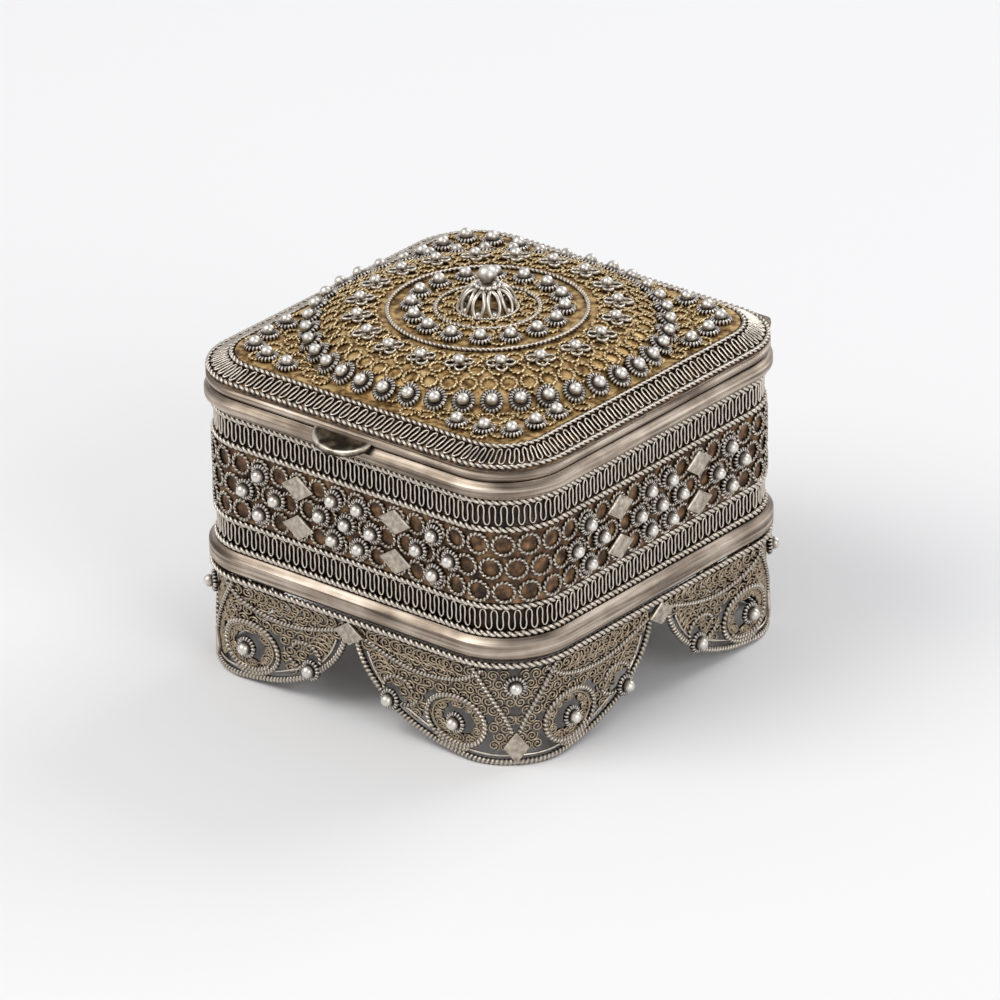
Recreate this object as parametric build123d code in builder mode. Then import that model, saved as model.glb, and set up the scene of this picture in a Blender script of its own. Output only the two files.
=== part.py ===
"""Filigree spice box: square plan with rounded corners, low domed lid hinged at the back, openwork feet.

Millimetres. Origin at the centre of the footprint on the surface the box stands on.
+X is the right side, -Y the front with the thumb tab, +Y the hinge side, +Z up.
"""
from build123d import *
from math import atan, cos, degrees, hypot, pi, radians, sin, sqrt
import os

# Plan of the box
BOX_WIDTH = 60.0
BOX_DEPTH = 62.0
CORNER_RADIUS = 10.5

# Heights
SKIRT_HEIGHT = 15.6
BASE_RIM_HEIGHT = 3.4
WALL_HEIGHT = 20.4
MOUTH_RIM_HEIGHT = 2.5
LID_GAP = 0.12
LID_RIM_HEIGHT = 1.7

# Sheet and bands of the wall, as insets from the plan outline
RIM_WIDTH = 1.7
RIM_BEVEL = 0.8
LINER_SHEET = 0.8
FLOOR_SHEET = 1.0
ROPE_WIRE = 0.95
SERPENTINE_HEIGHT = 3.1
SERPENTINE_DEPTH = 0.6
RING_PANEL_DEPTH = 0.5
SKIRT_SHEET = 0.9
SKIRT_INSET = 0.95

# Rosettes: a coiled wire cup with a granule in it
CUP_RADIUS = 1.65
CUP_HEIGHT = 0.8
GRANULE_RADIUS = 0.85
GRANULE_HEIGHT = 1.2
GRANULE_CROWN = 0.5
ROSETTE_SIDES = 6

# Pattern of each wall face: four-cluster, lozenges, seven-cluster, lozenges, four-cluster
FOUR_CLUSTER_OFFSET = 15.2
FOUR_CLUSTER_REACH = 2.8
SEVEN_CLUSTER_PITCH = 4.5
CLUSTER_ROW = 2.9
LOZENGE_OFFSET = 8.5
LOZENGE_WIDTH = 5.4
LOZENGE_HEIGHT = 3.6
LOZENGE_DEPTH = 0.7
LOZENGE_TAPER = 20

# Lid. Shares are radii on the dome when its outer ring of rosettes has a radius of OUTER_RING_SHARE,
# and corner rosettes are placed from the two edges of the lid.
LID_INSET = 0.3
LID_SHEET = 0.9
LID_RIM_WIDTH = 1.6
BORDER_WIDTH = 4.1
BORDER_RISE = 1.9
DOME_SHARES = (25.4, 22.4, 19.4, 15.0, 6.0)
DOME_RISES = (1.9, 4.0, 5.2, 5.6, 5.8)
BEZEL_CLEARANCE = 0.35
BEZEL_SHEET = 0.7
BEZEL_DROP = 2.6
BORDER_START = 0.15
BORDER_ROPE = 0.7
BORDER_SERPENTINE_LIFT = 0.5
GROUND_SHEET = 0.35
CIRCLE_WIRE = 0.8
CIRCLE_SHARES = (7.1, 13.6)
INNER_RING_SHARE = 10.4
INNER_RING_PITCH = 4.08
CLOVER_RING_SHARE = 17.6
CLOVER_PITCH = 5.53
CLOVER_RADIUS = 1.9
CLOVER_THICKNESS = 0.4
CLOVER_GRANULE_RADIUS = 0.75
OUTER_RING_SHARE = 23.8
OUTER_RING_PITCH = 3.74
OUTER_RING_CLEARANCE = 0.15
CORNER_ROSETTES = ((14.9, 6.1), (10.8, 6.8), (7.3, 8.3), (6.4, 12.2), (6.1, 16.3))

# Finial
FINIAL_RADIUS = 4.4
FINIAL_RISE = 3.2
FINIAL_WIRE = 0.6
FINIAL_RIBS = 8
WAIST_SHARE = 0.86
WAIST_LEVEL = 0.62
INNER_WAIST_LEVEL = 0.55
CROWN_RADIUS = 1.9
CROWN_COUNT = 8
CROWN_GRANULE = 0.45
BEAD_RADIUS = 1.3
BEAD_SEAT = 0.9
BEAD_SIDES = 10

# Thumb tab
TAB_HALF_WIDTH = 4.9
TAB_REACH = 3.0
TAB_SHEET = 0.8
TAB_SLOPE = 22

# Hinge
PIN_RADIUS = 0.55
PIN_CLEARANCE = 0.05
KNUCKLE_WALL = 0.55
KNUCKLE_COUNT = 5
HINGE_LENGTH = 44.0
KNUCKLE_GAP = 0.2
KNUCKLE_STANDOFF = 0.3
STRAP_HEIGHT = 0.7
PIN_HEAD = 0.4

# Skirt lobes
LOBE_GAP = SKIRT_SHEET + 0.2
LOBE_FOOT = 6.0
LOBE_SHOULDER = 12.6
LOBE_BEND = (15.1, 3.7)
SCROLL_CENTRE = (7.5, 5.3)
SCROLL_INNER = 3.8
SCROLL_SEAT = 2.0
SCROLL_ARMS = 2
SCROLL_ARM_ANGLE = 40
CORNER_ROSETTE_HEIGHT = 11.9
EDGE_ROSETTE = (15.6, 5.3)
FOOT_LOZENGE_WIDTH = 3.4
FOOT_LOZENGE_HEIGHT = 4.8
FOOT_LOZENGE_CENTRE = 2.7
VALLEY_LOZENGE_WIDTH = 5.0
VALLEY_LOZENGE_HEIGHT = 3.4

# Levels worked out from the heights
FLOOR_Z = SKIRT_HEIGHT + BASE_RIM_HEIGHT / 2
WALL_Z = SKIRT_HEIGHT + BASE_RIM_HEIGHT
MOUTH_Z = WALL_Z + WALL_HEIGHT
TOP_Z = MOUTH_Z + MOUTH_RIM_HEIGHT
LID_Z = TOP_Z + LID_GAP
DOME_Z = LID_Z + LID_RIM_HEIGHT
WALL_MIDDLE = WALL_Z + WALL_HEIGHT / 2
PANEL_LOW = WALL_Z + 2 * ROPE_WIRE + SERPENTINE_HEIGHT
PANEL_HIGH = MOUTH_Z - 2 * ROPE_WIRE - SERPENTINE_HEIGHT

# Half sizes of the lid. The outer ring of rosettes fits inside the border, and the dome goes with it.
LID_HALF_X = BOX_WIDTH / 2 - LID_INSET
LID_HALF_Y = BOX_DEPTH / 2 - LID_INSET
OUTER_RING_RADIUS = min(LID_HALF_X, LID_HALF_Y) - BORDER_WIDTH - CUP_RADIUS - OUTER_RING_CLEARANCE
SPREAD = OUTER_RING_RADIUS / OUTER_RING_SHARE
DOME_RADII = tuple(SPREAD * share for share in DOME_SHARES)
CIRCLE_RADII = tuple(SPREAD * share for share in CIRCLE_SHARES)

os.makedirs("parts", exist_ok=True)


def outline(inset):
    """The plan outline moved inwards, in the sketch that is open."""
    return RectangleRounded(BOX_WIDTH - 2 * inset, BOX_DEPTH - 2 * inset, CORNER_RADIUS - inset)


def hollow_outline(outer, inner):
    """The band of plan between two insets, in the sketch that is open."""
    outline(outer)
    with BuildSketch(mode=Mode.PRIVATE) as hole:
        outline(inner)
    add(hole.sketch, mode=Mode.SUBTRACT)


def band(low, high, outer, inner):
    """A ring that follows the plan outline between two heights."""
    with BuildPart() as ring:
        with BuildSketch(Plane.XY.offset(low)):
            hollow_outline(outer, inner)
        extrude(amount=high - low)
    return ring.part


def bevelled_band(low, high, outer, inner, bevel):
    """A band whose outer edges are bevelled, like D-section wire."""
    with BuildPart() as ring:
        add(band(low, high, outer, inner))
        flat = [e for e in ring.edges() if e.bounding_box().size.Z < bevel / 10]
        chamfer([e for e in flat if is_outer_edge(e, outer, inner)], bevel)
    return ring.part


def is_outer_edge(edge, outer, inner):
    """True where the middle of a horizontal edge lies on the outer outline of a band."""
    middle = edge.position_at(0.5)
    return plan_inset(middle.X, middle.Y) < (outer + inner) / 2


def plan_inset(x, y):
    """How far inside the plan outline a point lies."""
    core_x, core_y = BOX_WIDTH / 2 - CORNER_RADIUS, BOX_DEPTH / 2 - CORNER_RADIUS
    over_x, over_y = abs(x) - core_x, abs(y) - core_y
    if over_x > 0 and over_y > 0:
        return CORNER_RADIUS - hypot(over_x, over_y)
    return CORNER_RADIUS - max(over_x, over_y)


def dome_height(x, y):
    """Height of the top of the lid sheet: the sloped border, or the round dome where it is higher."""
    inset = plan_inset(x, y) - LID_INSET
    border = BORDER_RISE * min(inset / BORDER_WIDTH, 1)
    radius = hypot(x, y)
    dome = DOME_RISES[-1] if radius < DOME_RADII[-1] else 0
    steps = list(zip(DOME_RADII, DOME_RISES))
    for (outer, low), (inner, high) in zip(steps, steps[1:]):
        if inner <= radius <= outer:
            dome = low + (high - low) * (outer - radius) / (outer - inner)
    return DOME_Z + max(border, dome)


def lid_form(lift):
    """Solid under the lid surface raised by lift, with straight sides down past the mouth."""
    with BuildPart() as form:
        with BuildSketch(Plane.XY.offset(MOUTH_Z - BEZEL_DROP)):
            outline(LID_INSET)
        extrude(amount=DOME_Z + lift - MOUTH_Z + BEZEL_DROP)
        with BuildSketch(Plane.XY.offset(DOME_Z + lift)):
            outline(LID_INSET)
        extrude(amount=BORDER_RISE, taper=degrees(atan(BORDER_WIDTH / BORDER_RISE)))
        base = DOME_Z + lift
        profile = [(0, base)] + [(DOME_RADII[0], base)]
        profile += [(radius, base + rise) for radius, rise in zip(DOME_RADII, DOME_RISES)]
        profile += [(0, base + DOME_RISES[-1])]
        with BuildSketch(Plane.XZ):
            Polygon(*profile, align=None)
        revolve(axis=Axis.Z)
    return form.part


def granule(radius, height, sides=ROSETTE_SIDES):
    """A small bead with flat facets that stands on the plane of its sketch and narrows upwards."""
    shrink = cos(pi / sides) * radius * (1 - GRANULE_CROWN)
    with BuildPart() as bead:
        with BuildSketch():
            RegularPolygon(radius, sides)
        extrude(amount=height, taper=degrees(atan(shrink / height)))
    return bead.part


def cup(depth):
    """A rosette cup that reaches below its seat by depth, for the curved lid."""
    with BuildPart() as seat:
        with BuildSketch(Plane.XY.offset(-depth)):
            RegularPolygon(CUP_RADIUS, ROSETTE_SIDES)
        extrude(amount=CUP_HEIGHT + depth)
    return seat.part


def lozenge(width, height):
    """A flat lozenge plate with bevelled edges, lying on the plane of its sketch."""
    with BuildPart() as plate:
        with BuildSketch():
            Polygon((width / 2, 0), (0, height / 2), (-width / 2, 0), (0, -height / 2))
        extrude(amount=LOZENGE_DEPTH, taper=LOZENGE_TAPER)
    return plate.part


def side_plane(turn, inset, height):
    """Plane on one side of the box, facing out, with its y axis up. Turn 0 is the front."""
    angle = radians(turn - 90)
    reach = (BOX_DEPTH if turn % 180 == 0 else BOX_WIDTH) / 2 - inset
    out = Vector(cos(angle), sin(angle), 0)
    return Plane(origin=out * reach + Vector(0, 0, height), x_dir=(-sin(angle), cos(angle), 0), z_dir=out)


def corner_plane(turn, height):
    """Plane through the middle of the box that faces one corner, with its y axis up."""
    angle = radians(turn - 45)
    out = (cos(angle), sin(angle), 0)
    return Plane(origin=(0, 0, height), x_dir=(-sin(angle), cos(angle), 0), z_dir=out)


def on_plane(plane, points):
    """Locations at points of a plane, given as (across, up)."""
    return [plane.location * Location((across, up, 0)) for across, up in points]


def copies(shape, places):
    """The same small shape at every place, as separate solids."""
    with BuildPart() as group:
        with Locations(*places):
            add(shape)
    return group.part


def finish(shape, name):
    """Label a finished piece and write its file."""
    shape.label = name
    export_step(shape, f"parts/{name}.step")


# Walls, floor and rims

liner_inner = RIM_WIDTH + LINER_SHEET
with BuildPart() as wall_liner:
    add(band(FLOOR_Z, TOP_Z, RIM_WIDTH, liner_inner))
finish(wall_liner.part, "wall_liner")

with BuildPart() as floor_plate:
    with BuildSketch(Plane.XY.offset(FLOOR_Z - FLOOR_SHEET)):
        outline(RIM_WIDTH)
    extrude(amount=FLOOR_SHEET)
finish(floor_plate.part, "floor_plate")

with BuildPart() as mouth_rim:
    add(bevelled_band(MOUTH_Z, TOP_Z, 0, RIM_WIDTH, RIM_BEVEL))
finish(mouth_rim.part, "mouth_rim")

with BuildPart() as base_rim:
    add(bevelled_band(SKIRT_HEIGHT, WALL_Z, 0, RIM_WIDTH, RIM_BEVEL))
finish(base_rim.part, "base_rim")

# Bands of wire on the wall, from the bottom up

rope_levels = (WALL_Z, PANEL_LOW - ROPE_WIRE, PANEL_HIGH, MOUTH_Z - ROPE_WIRE)
for number, level in enumerate(rope_levels, 1):
    with BuildPart() as wall_rope:
        add(band(level, level + ROPE_WIRE, RIM_WIDTH - ROPE_WIRE, RIM_WIDTH))
    finish(wall_rope.part, f"wall_rope_{number}")

for name, level in (("lower", WALL_Z + ROPE_WIRE), ("upper", PANEL_HIGH + ROPE_WIRE)):
    with BuildPart() as serpentine:
        add(band(level, level + SERPENTINE_HEIGHT, RIM_WIDTH - SERPENTINE_DEPTH, RIM_WIDTH))
    finish(serpentine.part, f"{name}_serpentine_band")

panel_inset = RIM_WIDTH - RING_PANEL_DEPTH
with BuildPart() as wall_ring_panel:
    add(band(PANEL_LOW, PANEL_HIGH, panel_inset, RIM_WIDTH))
finish(wall_ring_panel.part, "wall_ring_panel")

# Rosettes and lozenges of the wall

four_cluster = [(FOUR_CLUSTER_REACH, 0), (0, CLUSTER_ROW), (-FOUR_CLUSTER_REACH, 0), (0, -CLUSTER_ROW)]
seven_cluster = [(-SEVEN_CLUSTER_PITCH, 0), (0, 0), (SEVEN_CLUSTER_PITCH, 0)]
for side in (-1, 1):
    seven_cluster += [(side * SEVEN_CLUSTER_PITCH / 2, row * CLUSTER_ROW) for row in (-1, 1)]
face_rosettes = list(seven_cluster)
for side in (-1, 1):
    face_rosettes += [(side * FOUR_CLUSTER_OFFSET + across, up) for across, up in four_cluster]
face_lozenges = [(side * LOZENGE_OFFSET, row * CLUSTER_ROW) for side in (-1, 1) for row in (-1, 1)]

rosette_places, granule_places, lozenge_places = [], [], []
for turn in (0, 90, 180, 270):
    rosette_places += on_plane(side_plane(turn, panel_inset, WALL_MIDDLE), face_rosettes)
    granule_places += on_plane(side_plane(turn, panel_inset - CUP_HEIGHT, WALL_MIDDLE), face_rosettes)
    lozenge_places += on_plane(side_plane(turn, panel_inset, WALL_MIDDLE), face_lozenges)

finish(copies(cup(0), rosette_places), "wall_rosette_cups")
finish(copies(granule(GRANULE_RADIUS, GRANULE_HEIGHT), granule_places), "wall_granules")
finish(copies(lozenge(LOZENGE_WIDTH, LOZENGE_HEIGHT), lozenge_places), "wall_lozenges")

# Skirt: a rope wire under the base rim and four openwork lobes that are the feet

with BuildPart() as skirt_rope:
    add(band(SKIRT_HEIGHT - ROPE_WIRE, SKIRT_HEIGHT, SKIRT_INSET - ROPE_WIRE, SKIRT_INSET))
finish(skirt_rope.part, "skirt_rope")


def leaf_opening(start, end, bulge):
    """A pointed opening between two points, with two curved sides, in the sketch that is open."""
    low, high = Vector(*start), Vector(*end)
    side = Vector(low.Y - high.Y, high.X - low.X).normalized() * bulge
    middle = (low + high) / 2
    with BuildLine() as leaf:
        ThreePointArc(low, middle + side, high)
        ThreePointArc(high, middle - side, low)
    make_face(leaf.edges(), mode=Mode.SUBTRACT)


def scroll_opening(centre, start_angle, sweep):
    """One opening of a scroll, a part of the ring between its wire and the rosette seat."""
    middle = Vector(*centre)
    first, last = radians(start_angle), radians(start_angle + sweep)
    half = (first + last) / 2

    def point(radius, angle):
        return middle + Vector(radius * cos(angle), radius * sin(angle))

    with BuildLine() as opening:
        ThreePointArc(point(SCROLL_INNER, first), point(SCROLL_INNER, half), point(SCROLL_INNER, last))
        Line(point(SCROLL_INNER, last), point(SCROLL_SEAT, last))
        ThreePointArc(point(SCROLL_SEAT, last), point(SCROLL_SEAT, half), point(SCROLL_SEAT, first))
        Line(point(SCROLL_SEAT, first), point(SCROLL_INNER, first))
    make_face(opening.edges(), mode=Mode.SUBTRACT)


# Openings of half a lobe between scroll, edge and top rope, as start, end and bulge
LOBE_LEAVES = (
    ((4.6, 11.2), (10.4, 13.6), 0.75),
    ((11.4, 10.4), (18.0, 13.0), 1.0),
)


def lobe_profile(left_end, right_end):
    """Openwork face of one lobe, seen square to its corner."""
    with BuildLine() as edge:
        Line((-LOBE_FOOT, 0), (LOBE_FOOT, 0))
        for side, end in ((1, right_end), (-1, left_end)):
            shoulder = (side * end, LOBE_SHOULDER)
            ThreePointArc((side * LOBE_FOOT, 0), (side * LOBE_BEND[0], LOBE_BEND[1]), shoulder)
            Line(shoulder, (side * end, SKIRT_HEIGHT))
        Line((right_end, SKIRT_HEIGHT), (-left_end, SKIRT_HEIGHT))
    make_face(edge.edges())
    for side in (-1, 1):
        centre = (side * SCROLL_CENTRE[0], SCROLL_CENTRE[1])
        for arm in range(SCROLL_ARMS):
            start = 90 + side * SCROLL_ARM_ANGLE / 2 + arm * 360 / SCROLL_ARMS
            scroll_opening(centre, start, 360 / SCROLL_ARMS - SCROLL_ARM_ANGLE)
        for start, end, bulge in LOBE_LEAVES:
            leaf_opening((side * start[0], start[1]), (side * end[0], end[1]), bulge)


lobe_names = ("front_right", "back_right", "back_left", "front_left")
half_spans = (BOX_DEPTH / 2 - SKIRT_INSET, BOX_WIDTH / 2 - SKIRT_INSET)
for number, name in enumerate(lobe_names):
    left_span, right_span = half_spans[number % 2], half_spans[(number + 1) % 2]
    with BuildPart() as lobe:
        with BuildSketch(corner_plane(90 * number, 0)):
            lobe_profile((left_span - LOBE_GAP) / sqrt(2), (right_span - LOBE_GAP) / sqrt(2))
        extrude(amount=BOX_DEPTH)
        add(band(0, SKIRT_HEIGHT, SKIRT_INSET, SKIRT_INSET + SKIRT_SHEET), mode=Mode.INTERSECT)
    finish(lobe.part, f"skirt_lobe_{name}")


def corner_spot(turn, height, outward):
    """Plane that faces out on the round of one corner, a given distance beyond the skirt sheet."""
    facing = corner_plane(turn, height)
    centre_x = BOX_WIDTH / 2 - CORNER_RADIUS
    centre_y = BOX_DEPTH / 2 - CORNER_RADIUS
    out = facing.z_dir
    axis_x = centre_x if out.X > 0 else -centre_x
    axis_y = centre_y if out.Y > 0 else -centre_y
    origin = Vector(axis_x, axis_y, height) + out * (CORNER_RADIUS - SKIRT_INSET + outward)
    return Plane(origin=origin, x_dir=facing.x_dir, z_dir=out)


def skirt_spots(outward):
    """Places of the skirt rosettes: one on each corner, four on each side."""
    places = []
    for turn in (0, 90, 180, 270):
        places.append(corner_spot(turn, CORNER_ROSETTE_HEIGHT, outward).location)
        half_span = half_spans[turn // 90 % 2]
        plane = side_plane(turn, SKIRT_INSET - outward, 0)
        for across, up in (SCROLL_CENTRE, EDGE_ROSETTE):
            reach = half_span - sqrt(2) * across
            places += on_plane(plane, [(reach, up), (-reach, up)])
    return places


with BuildPart() as corner_tool:
    add(band(0, SKIRT_HEIGHT, SKIRT_INSET, SKIRT_INSET + SKIRT_SHEET + CUP_HEIGHT))

with BuildPart() as skirt_rosette_cups:
    with Locations(*skirt_spots(0)):
        add(cup(CUP_HEIGHT / 2))
    add(corner_tool.part, mode=Mode.SUBTRACT)
finish(skirt_rosette_cups.part, "skirt_rosette_cups")

finish(copies(granule(GRANULE_RADIUS, GRANULE_HEIGHT), skirt_spots(CUP_HEIGHT)), "skirt_granules")

with BuildPart() as foot_lozenges:
    spots = [corner_spot(turn, FOOT_LOZENGE_CENTRE, -LOZENGE_DEPTH / 2) for turn in (0, 90, 180, 270)]
    with Locations(*[spot.location for spot in spots]):
        add(lozenge(FOOT_LOZENGE_WIDTH, FOOT_LOZENGE_HEIGHT))
    add(corner_tool.part, mode=Mode.SUBTRACT)
finish(foot_lozenges.part, "foot_lozenges")

valley_height = SKIRT_HEIGHT - ROPE_WIRE - VALLEY_LOZENGE_HEIGHT / 2
valley_places = []
for turn in (0, 90, 180, 270):
    valley_places += on_plane(side_plane(turn, SKIRT_INSET, valley_height), [(0, 0)])
finish(copies(lozenge(VALLEY_LOZENGE_WIDTH, VALLEY_LOZENGE_HEIGHT), valley_places), "valley_lozenges")

# Lid sheet, rim and bezel

with BuildPart() as lid_rim:
    add(bevelled_band(LID_Z, DOME_Z, LID_INSET, LID_INSET + LID_RIM_WIDTH, LID_RIM_HEIGHT / 3))
finish(lid_rim.part, "lid_rim")

with BuildPart() as lid_plate:
    add(lid_form(0))
    add(lid_form(-LID_SHEET), mode=Mode.SUBTRACT)
    with BuildSketch(Plane.XY.offset(MOUTH_Z - BEZEL_DROP)):
        outline(0)
    extrude(amount=DOME_Z - MOUTH_Z + BEZEL_DROP, mode=Mode.SUBTRACT)
finish(lid_plate.part, "lid_plate")

bezel_inset = liner_inner + BEZEL_CLEARANCE
with BuildPart() as lid_bezel:
    add(band(TOP_Z - BEZEL_DROP, DOME_Z + DOME_RISES[-1], bezel_inset, bezel_inset + BEZEL_SHEET))
    add(lid_form(-LID_SHEET), mode=Mode.INTERSECT)
finish(lid_bezel.part, "lid_bezel")

# Border and ground of the lid, each a band of plan that follows the dome


def domed_band(outer, inner, lift, seat):
    """A ring between two insets, between the dome raised by seat and the dome raised by lift."""
    with BuildPart() as ring:
        add(band(LID_Z, DOME_Z + DOME_RISES[-1] + lift, outer, inner))
        add(lid_form(lift), mode=Mode.INTERSECT)
        add(lid_form(seat), mode=Mode.SUBTRACT)
    return ring.part


border_start = LID_INSET + BORDER_START
serpentine_start = border_start + BORDER_ROPE
border_end = LID_INSET + BORDER_WIDTH
serpentine_end = border_end - BORDER_ROPE

with BuildPart() as lid_outer_rope:
    add(domed_band(border_start, serpentine_start, BORDER_ROPE, 0))
finish(lid_outer_rope.part, "lid_outer_rope")

with BuildPart() as lid_serpentine_band:
    add(domed_band(serpentine_start, serpentine_end, BORDER_SERPENTINE_LIFT, 0))
finish(lid_serpentine_band.part, "lid_serpentine_band")

with BuildPart() as lid_inner_rope:
    add(domed_band(serpentine_end, border_end, BORDER_ROPE, 0))
finish(lid_inner_rope.part, "lid_inner_rope")

with BuildPart() as lid_ground:
    with BuildSketch(Plane.XY.offset(LID_Z)):
        outline(border_end)
    extrude(amount=DOME_Z + DOME_RISES[-1])
    add(lid_form(GROUND_SHEET), mode=Mode.INTERSECT)
    add(lid_form(0), mode=Mode.SUBTRACT)
finish(lid_ground.part, "lid_ground")

ground_form = lid_form(GROUND_SHEET)

for name, radius in zip(("inner", "outer"), CIRCLE_RADII):
    crest = dome_height(radius, 0) + GROUND_SHEET + CIRCLE_WIRE
    with BuildPart() as rope_circle:
        with BuildSketch(Plane.XY.offset(DOME_Z)):
            Circle(radius + CIRCLE_WIRE / 2)
            Circle(radius - CIRCLE_WIRE / 2, mode=Mode.SUBTRACT)
        extrude(amount=crest - DOME_Z)
        add(ground_form, mode=Mode.SUBTRACT)
    finish(rope_circle.part, f"lid_{name}_circle")

# Rosettes and clovers of the lid


def spaced_points(radius, pitch):
    """Points about one pitch apart on a circle about the middle of the lid."""
    return ring_points(radius, round(2 * pi * radius / pitch))


def ring_points(radius, count):
    """Points evenly spaced on a circle about the middle of the lid."""
    turns = [radians(360 * (number + 0.5) / count) for number in range(count)]
    return [(radius * cos(turn), radius * sin(turn)) for turn in turns]


def lid_places(points, lift):
    """Locations above points of the plan, a given height over the ground sheet."""
    return [Location((x, y, dome_height(x, y) + GROUND_SHEET + lift)) for x, y in points]


rosette_points = spaced_points(SPREAD * INNER_RING_SHARE, INNER_RING_PITCH)
rosette_points += spaced_points(OUTER_RING_RADIUS, OUTER_RING_PITCH)
for right in (-1, 1):
    for back in (-1, 1):
        rosette_points += [(right * (LID_HALF_X - x), back * (LID_HALF_Y - y)) for x, y in CORNER_ROSETTES]
clover_points = spaced_points(SPREAD * CLOVER_RING_SHARE, CLOVER_PITCH)
cup_sink = CUP_RADIUS

with BuildPart() as lid_rosette_cups:
    with Locations(*lid_places(rosette_points, 0)):
        add(cup(cup_sink))
    add(ground_form, mode=Mode.SUBTRACT)
finish(lid_rosette_cups.part, "lid_rosette_cups")

lid_bead = granule(GRANULE_RADIUS, GRANULE_HEIGHT)
finish(copies(lid_bead, lid_places(rosette_points, CUP_HEIGHT)), "lid_granules")

with BuildPart() as clover_plate:
    leaf_turns = [radians(60 * number) for number in range(6)]
    reaches = [CLOVER_RADIUS if number % 2 == 0 else CLOVER_RADIUS / 2 for number in range(6)]
    with BuildSketch(Plane.XY.offset(-CLOVER_RADIUS)):
        Polygon(*[(reach * cos(turn), reach * sin(turn)) for reach, turn in zip(reaches, leaf_turns)])
    extrude(amount=CLOVER_RADIUS + CLOVER_THICKNESS)

with BuildPart() as clover_loops:
    with Locations(*lid_places(clover_points, 0)):
        add(clover_plate.part)
    add(ground_form, mode=Mode.SUBTRACT)
finish(clover_loops.part, "clover_loops")

clover_bead = granule(CLOVER_GRANULE_RADIUS, 2 * CLOVER_GRANULE_RADIUS)
finish(copies(clover_bead, lid_places(clover_points, CLOVER_THICKNESS)), "clover_granules")

# Finial: a cage of wire ribs under a crown of granules and one large bead

finial_z = DOME_Z + DOME_RISES[-1] + GROUND_SHEET
crown_z = finial_z + FINIAL_RISE
waist_radius = FINIAL_RADIUS * WAIST_SHARE
with BuildPart() as finial_cage:
    with BuildSketch(Plane.XY.offset(finial_z)):
        Circle(FINIAL_RADIUS)
        Circle(FINIAL_RADIUS - FINIAL_WIRE, mode=Mode.SUBTRACT)
    extrude(amount=FINIAL_WIRE)
    with BuildSketch(Plane.XY.offset(crown_z - FINIAL_WIRE)):
        Circle(CROWN_RADIUS)
    extrude(amount=FINIAL_WIRE)
    for number in range(FINIAL_RIBS // 2):
        rib_plane = Plane.XZ.rotated((0, 0, 360 * number / FINIAL_RIBS))
        with BuildSketch(rib_plane.offset(-FINIAL_WIRE / 2)):
            for side in (-1, 1):
                foot = (side * FINIAL_RADIUS, finial_z)
                head = (side * CROWN_RADIUS, crown_z)
                inner_foot = (side * (FINIAL_RADIUS - FINIAL_WIRE), finial_z)
                inner_head = (side * (CROWN_RADIUS - FINIAL_WIRE), crown_z)
                waist = (side * waist_radius, finial_z + FINIAL_RISE * WAIST_LEVEL)
                inner_waist = (side * (waist_radius - FINIAL_WIRE), finial_z + FINIAL_RISE * INNER_WAIST_LEVEL)
                with BuildLine():
                    ThreePointArc(foot, waist, head)
                    Line(head, inner_head)
                    ThreePointArc(inner_head, inner_waist, inner_foot)
                    Line(inner_foot, foot)
                make_face()
        extrude(amount=FINIAL_WIRE)
finish(finial_cage.part, "finial_cage")

crown_reach = CROWN_RADIUS - CROWN_GRANULE
crown_places = [Location((x, y, crown_z)) for x, y in ring_points(crown_reach, CROWN_COUNT)]
finish(copies(granule(CROWN_GRANULE, 2 * CROWN_GRANULE), crown_places), "finial_crown")

with BuildPart() as finial_bead:
    with BuildSketch(Plane.XY.offset(crown_z)):
        Circle(crown_reach - CROWN_GRANULE)
    extrude(amount=2 * CROWN_GRANULE)
    with Locations((0, 0, crown_z + 2 * CROWN_GRANULE)):
        add(granule(BEAD_RADIUS, 2 * BEAD_RADIUS * BEAD_SEAT, BEAD_SIDES))
finish(finial_bead.part, "finial_bead")

# Thumb tab: a half-round plate that slopes down from the middle of the front lid rim

tab_tilt = radians(TAB_SLOPE)
tab_face = Plane(
    origin=(0, -LID_HALF_Y, LID_Z + LID_RIM_HEIGHT / 2),
    x_dir=(1, 0, 0),
    z_dir=(0, -sin(tab_tilt), cos(tab_tilt)),
)
with BuildPart() as thumb_tab:
    with BuildSketch(tab_face):
        Ellipse(TAB_HALF_WIDTH, TAB_REACH / cos(tab_tilt))
        with Locations((0, TAB_REACH + TAB_SHEET / 2)):
            Rectangle(2 * TAB_HALF_WIDTH, 2 * TAB_REACH, mode=Mode.SUBTRACT)
    extrude(amount=-TAB_SHEET)
    add(lid_rim.part, mode=Mode.SUBTRACT)
finish(thumb_tab.part, "thumb_tab")

# Hinge on the back: knuckles on straps, turn about on box and lid, on one pin

knuckle_bore = PIN_RADIUS + PIN_CLEARANCE
knuckle_radius = knuckle_bore + KNUCKLE_WALL
hinge_y = BOX_DEPTH / 2 + KNUCKLE_STANDOFF + knuckle_radius
hinge_z = TOP_Z
knuckle_pitch = HINGE_LENGTH / KNUCKLE_COUNT


def knuckles(numbers, strap_y, strap_z):
    """Knuckles at the given places along the pin, each with a strap to its rim."""
    with BuildPart() as leaf:
        for number in numbers:
            start = -HINGE_LENGTH / 2 + number * knuckle_pitch + KNUCKLE_GAP / 2
            with BuildSketch(Plane.YZ.offset(start)):
                with Locations((hinge_y, hinge_z)):
                    Circle(knuckle_radius)
                with Locations(((strap_y + hinge_y) / 2, strap_z)):
                    Rectangle(hinge_y - strap_y, STRAP_HEIGHT)
                with Locations((hinge_y, hinge_z)):
                    Circle(knuckle_bore, mode=Mode.SUBTRACT)
            extrude(amount=knuckle_pitch - KNUCKLE_GAP)
    return leaf.part


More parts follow.
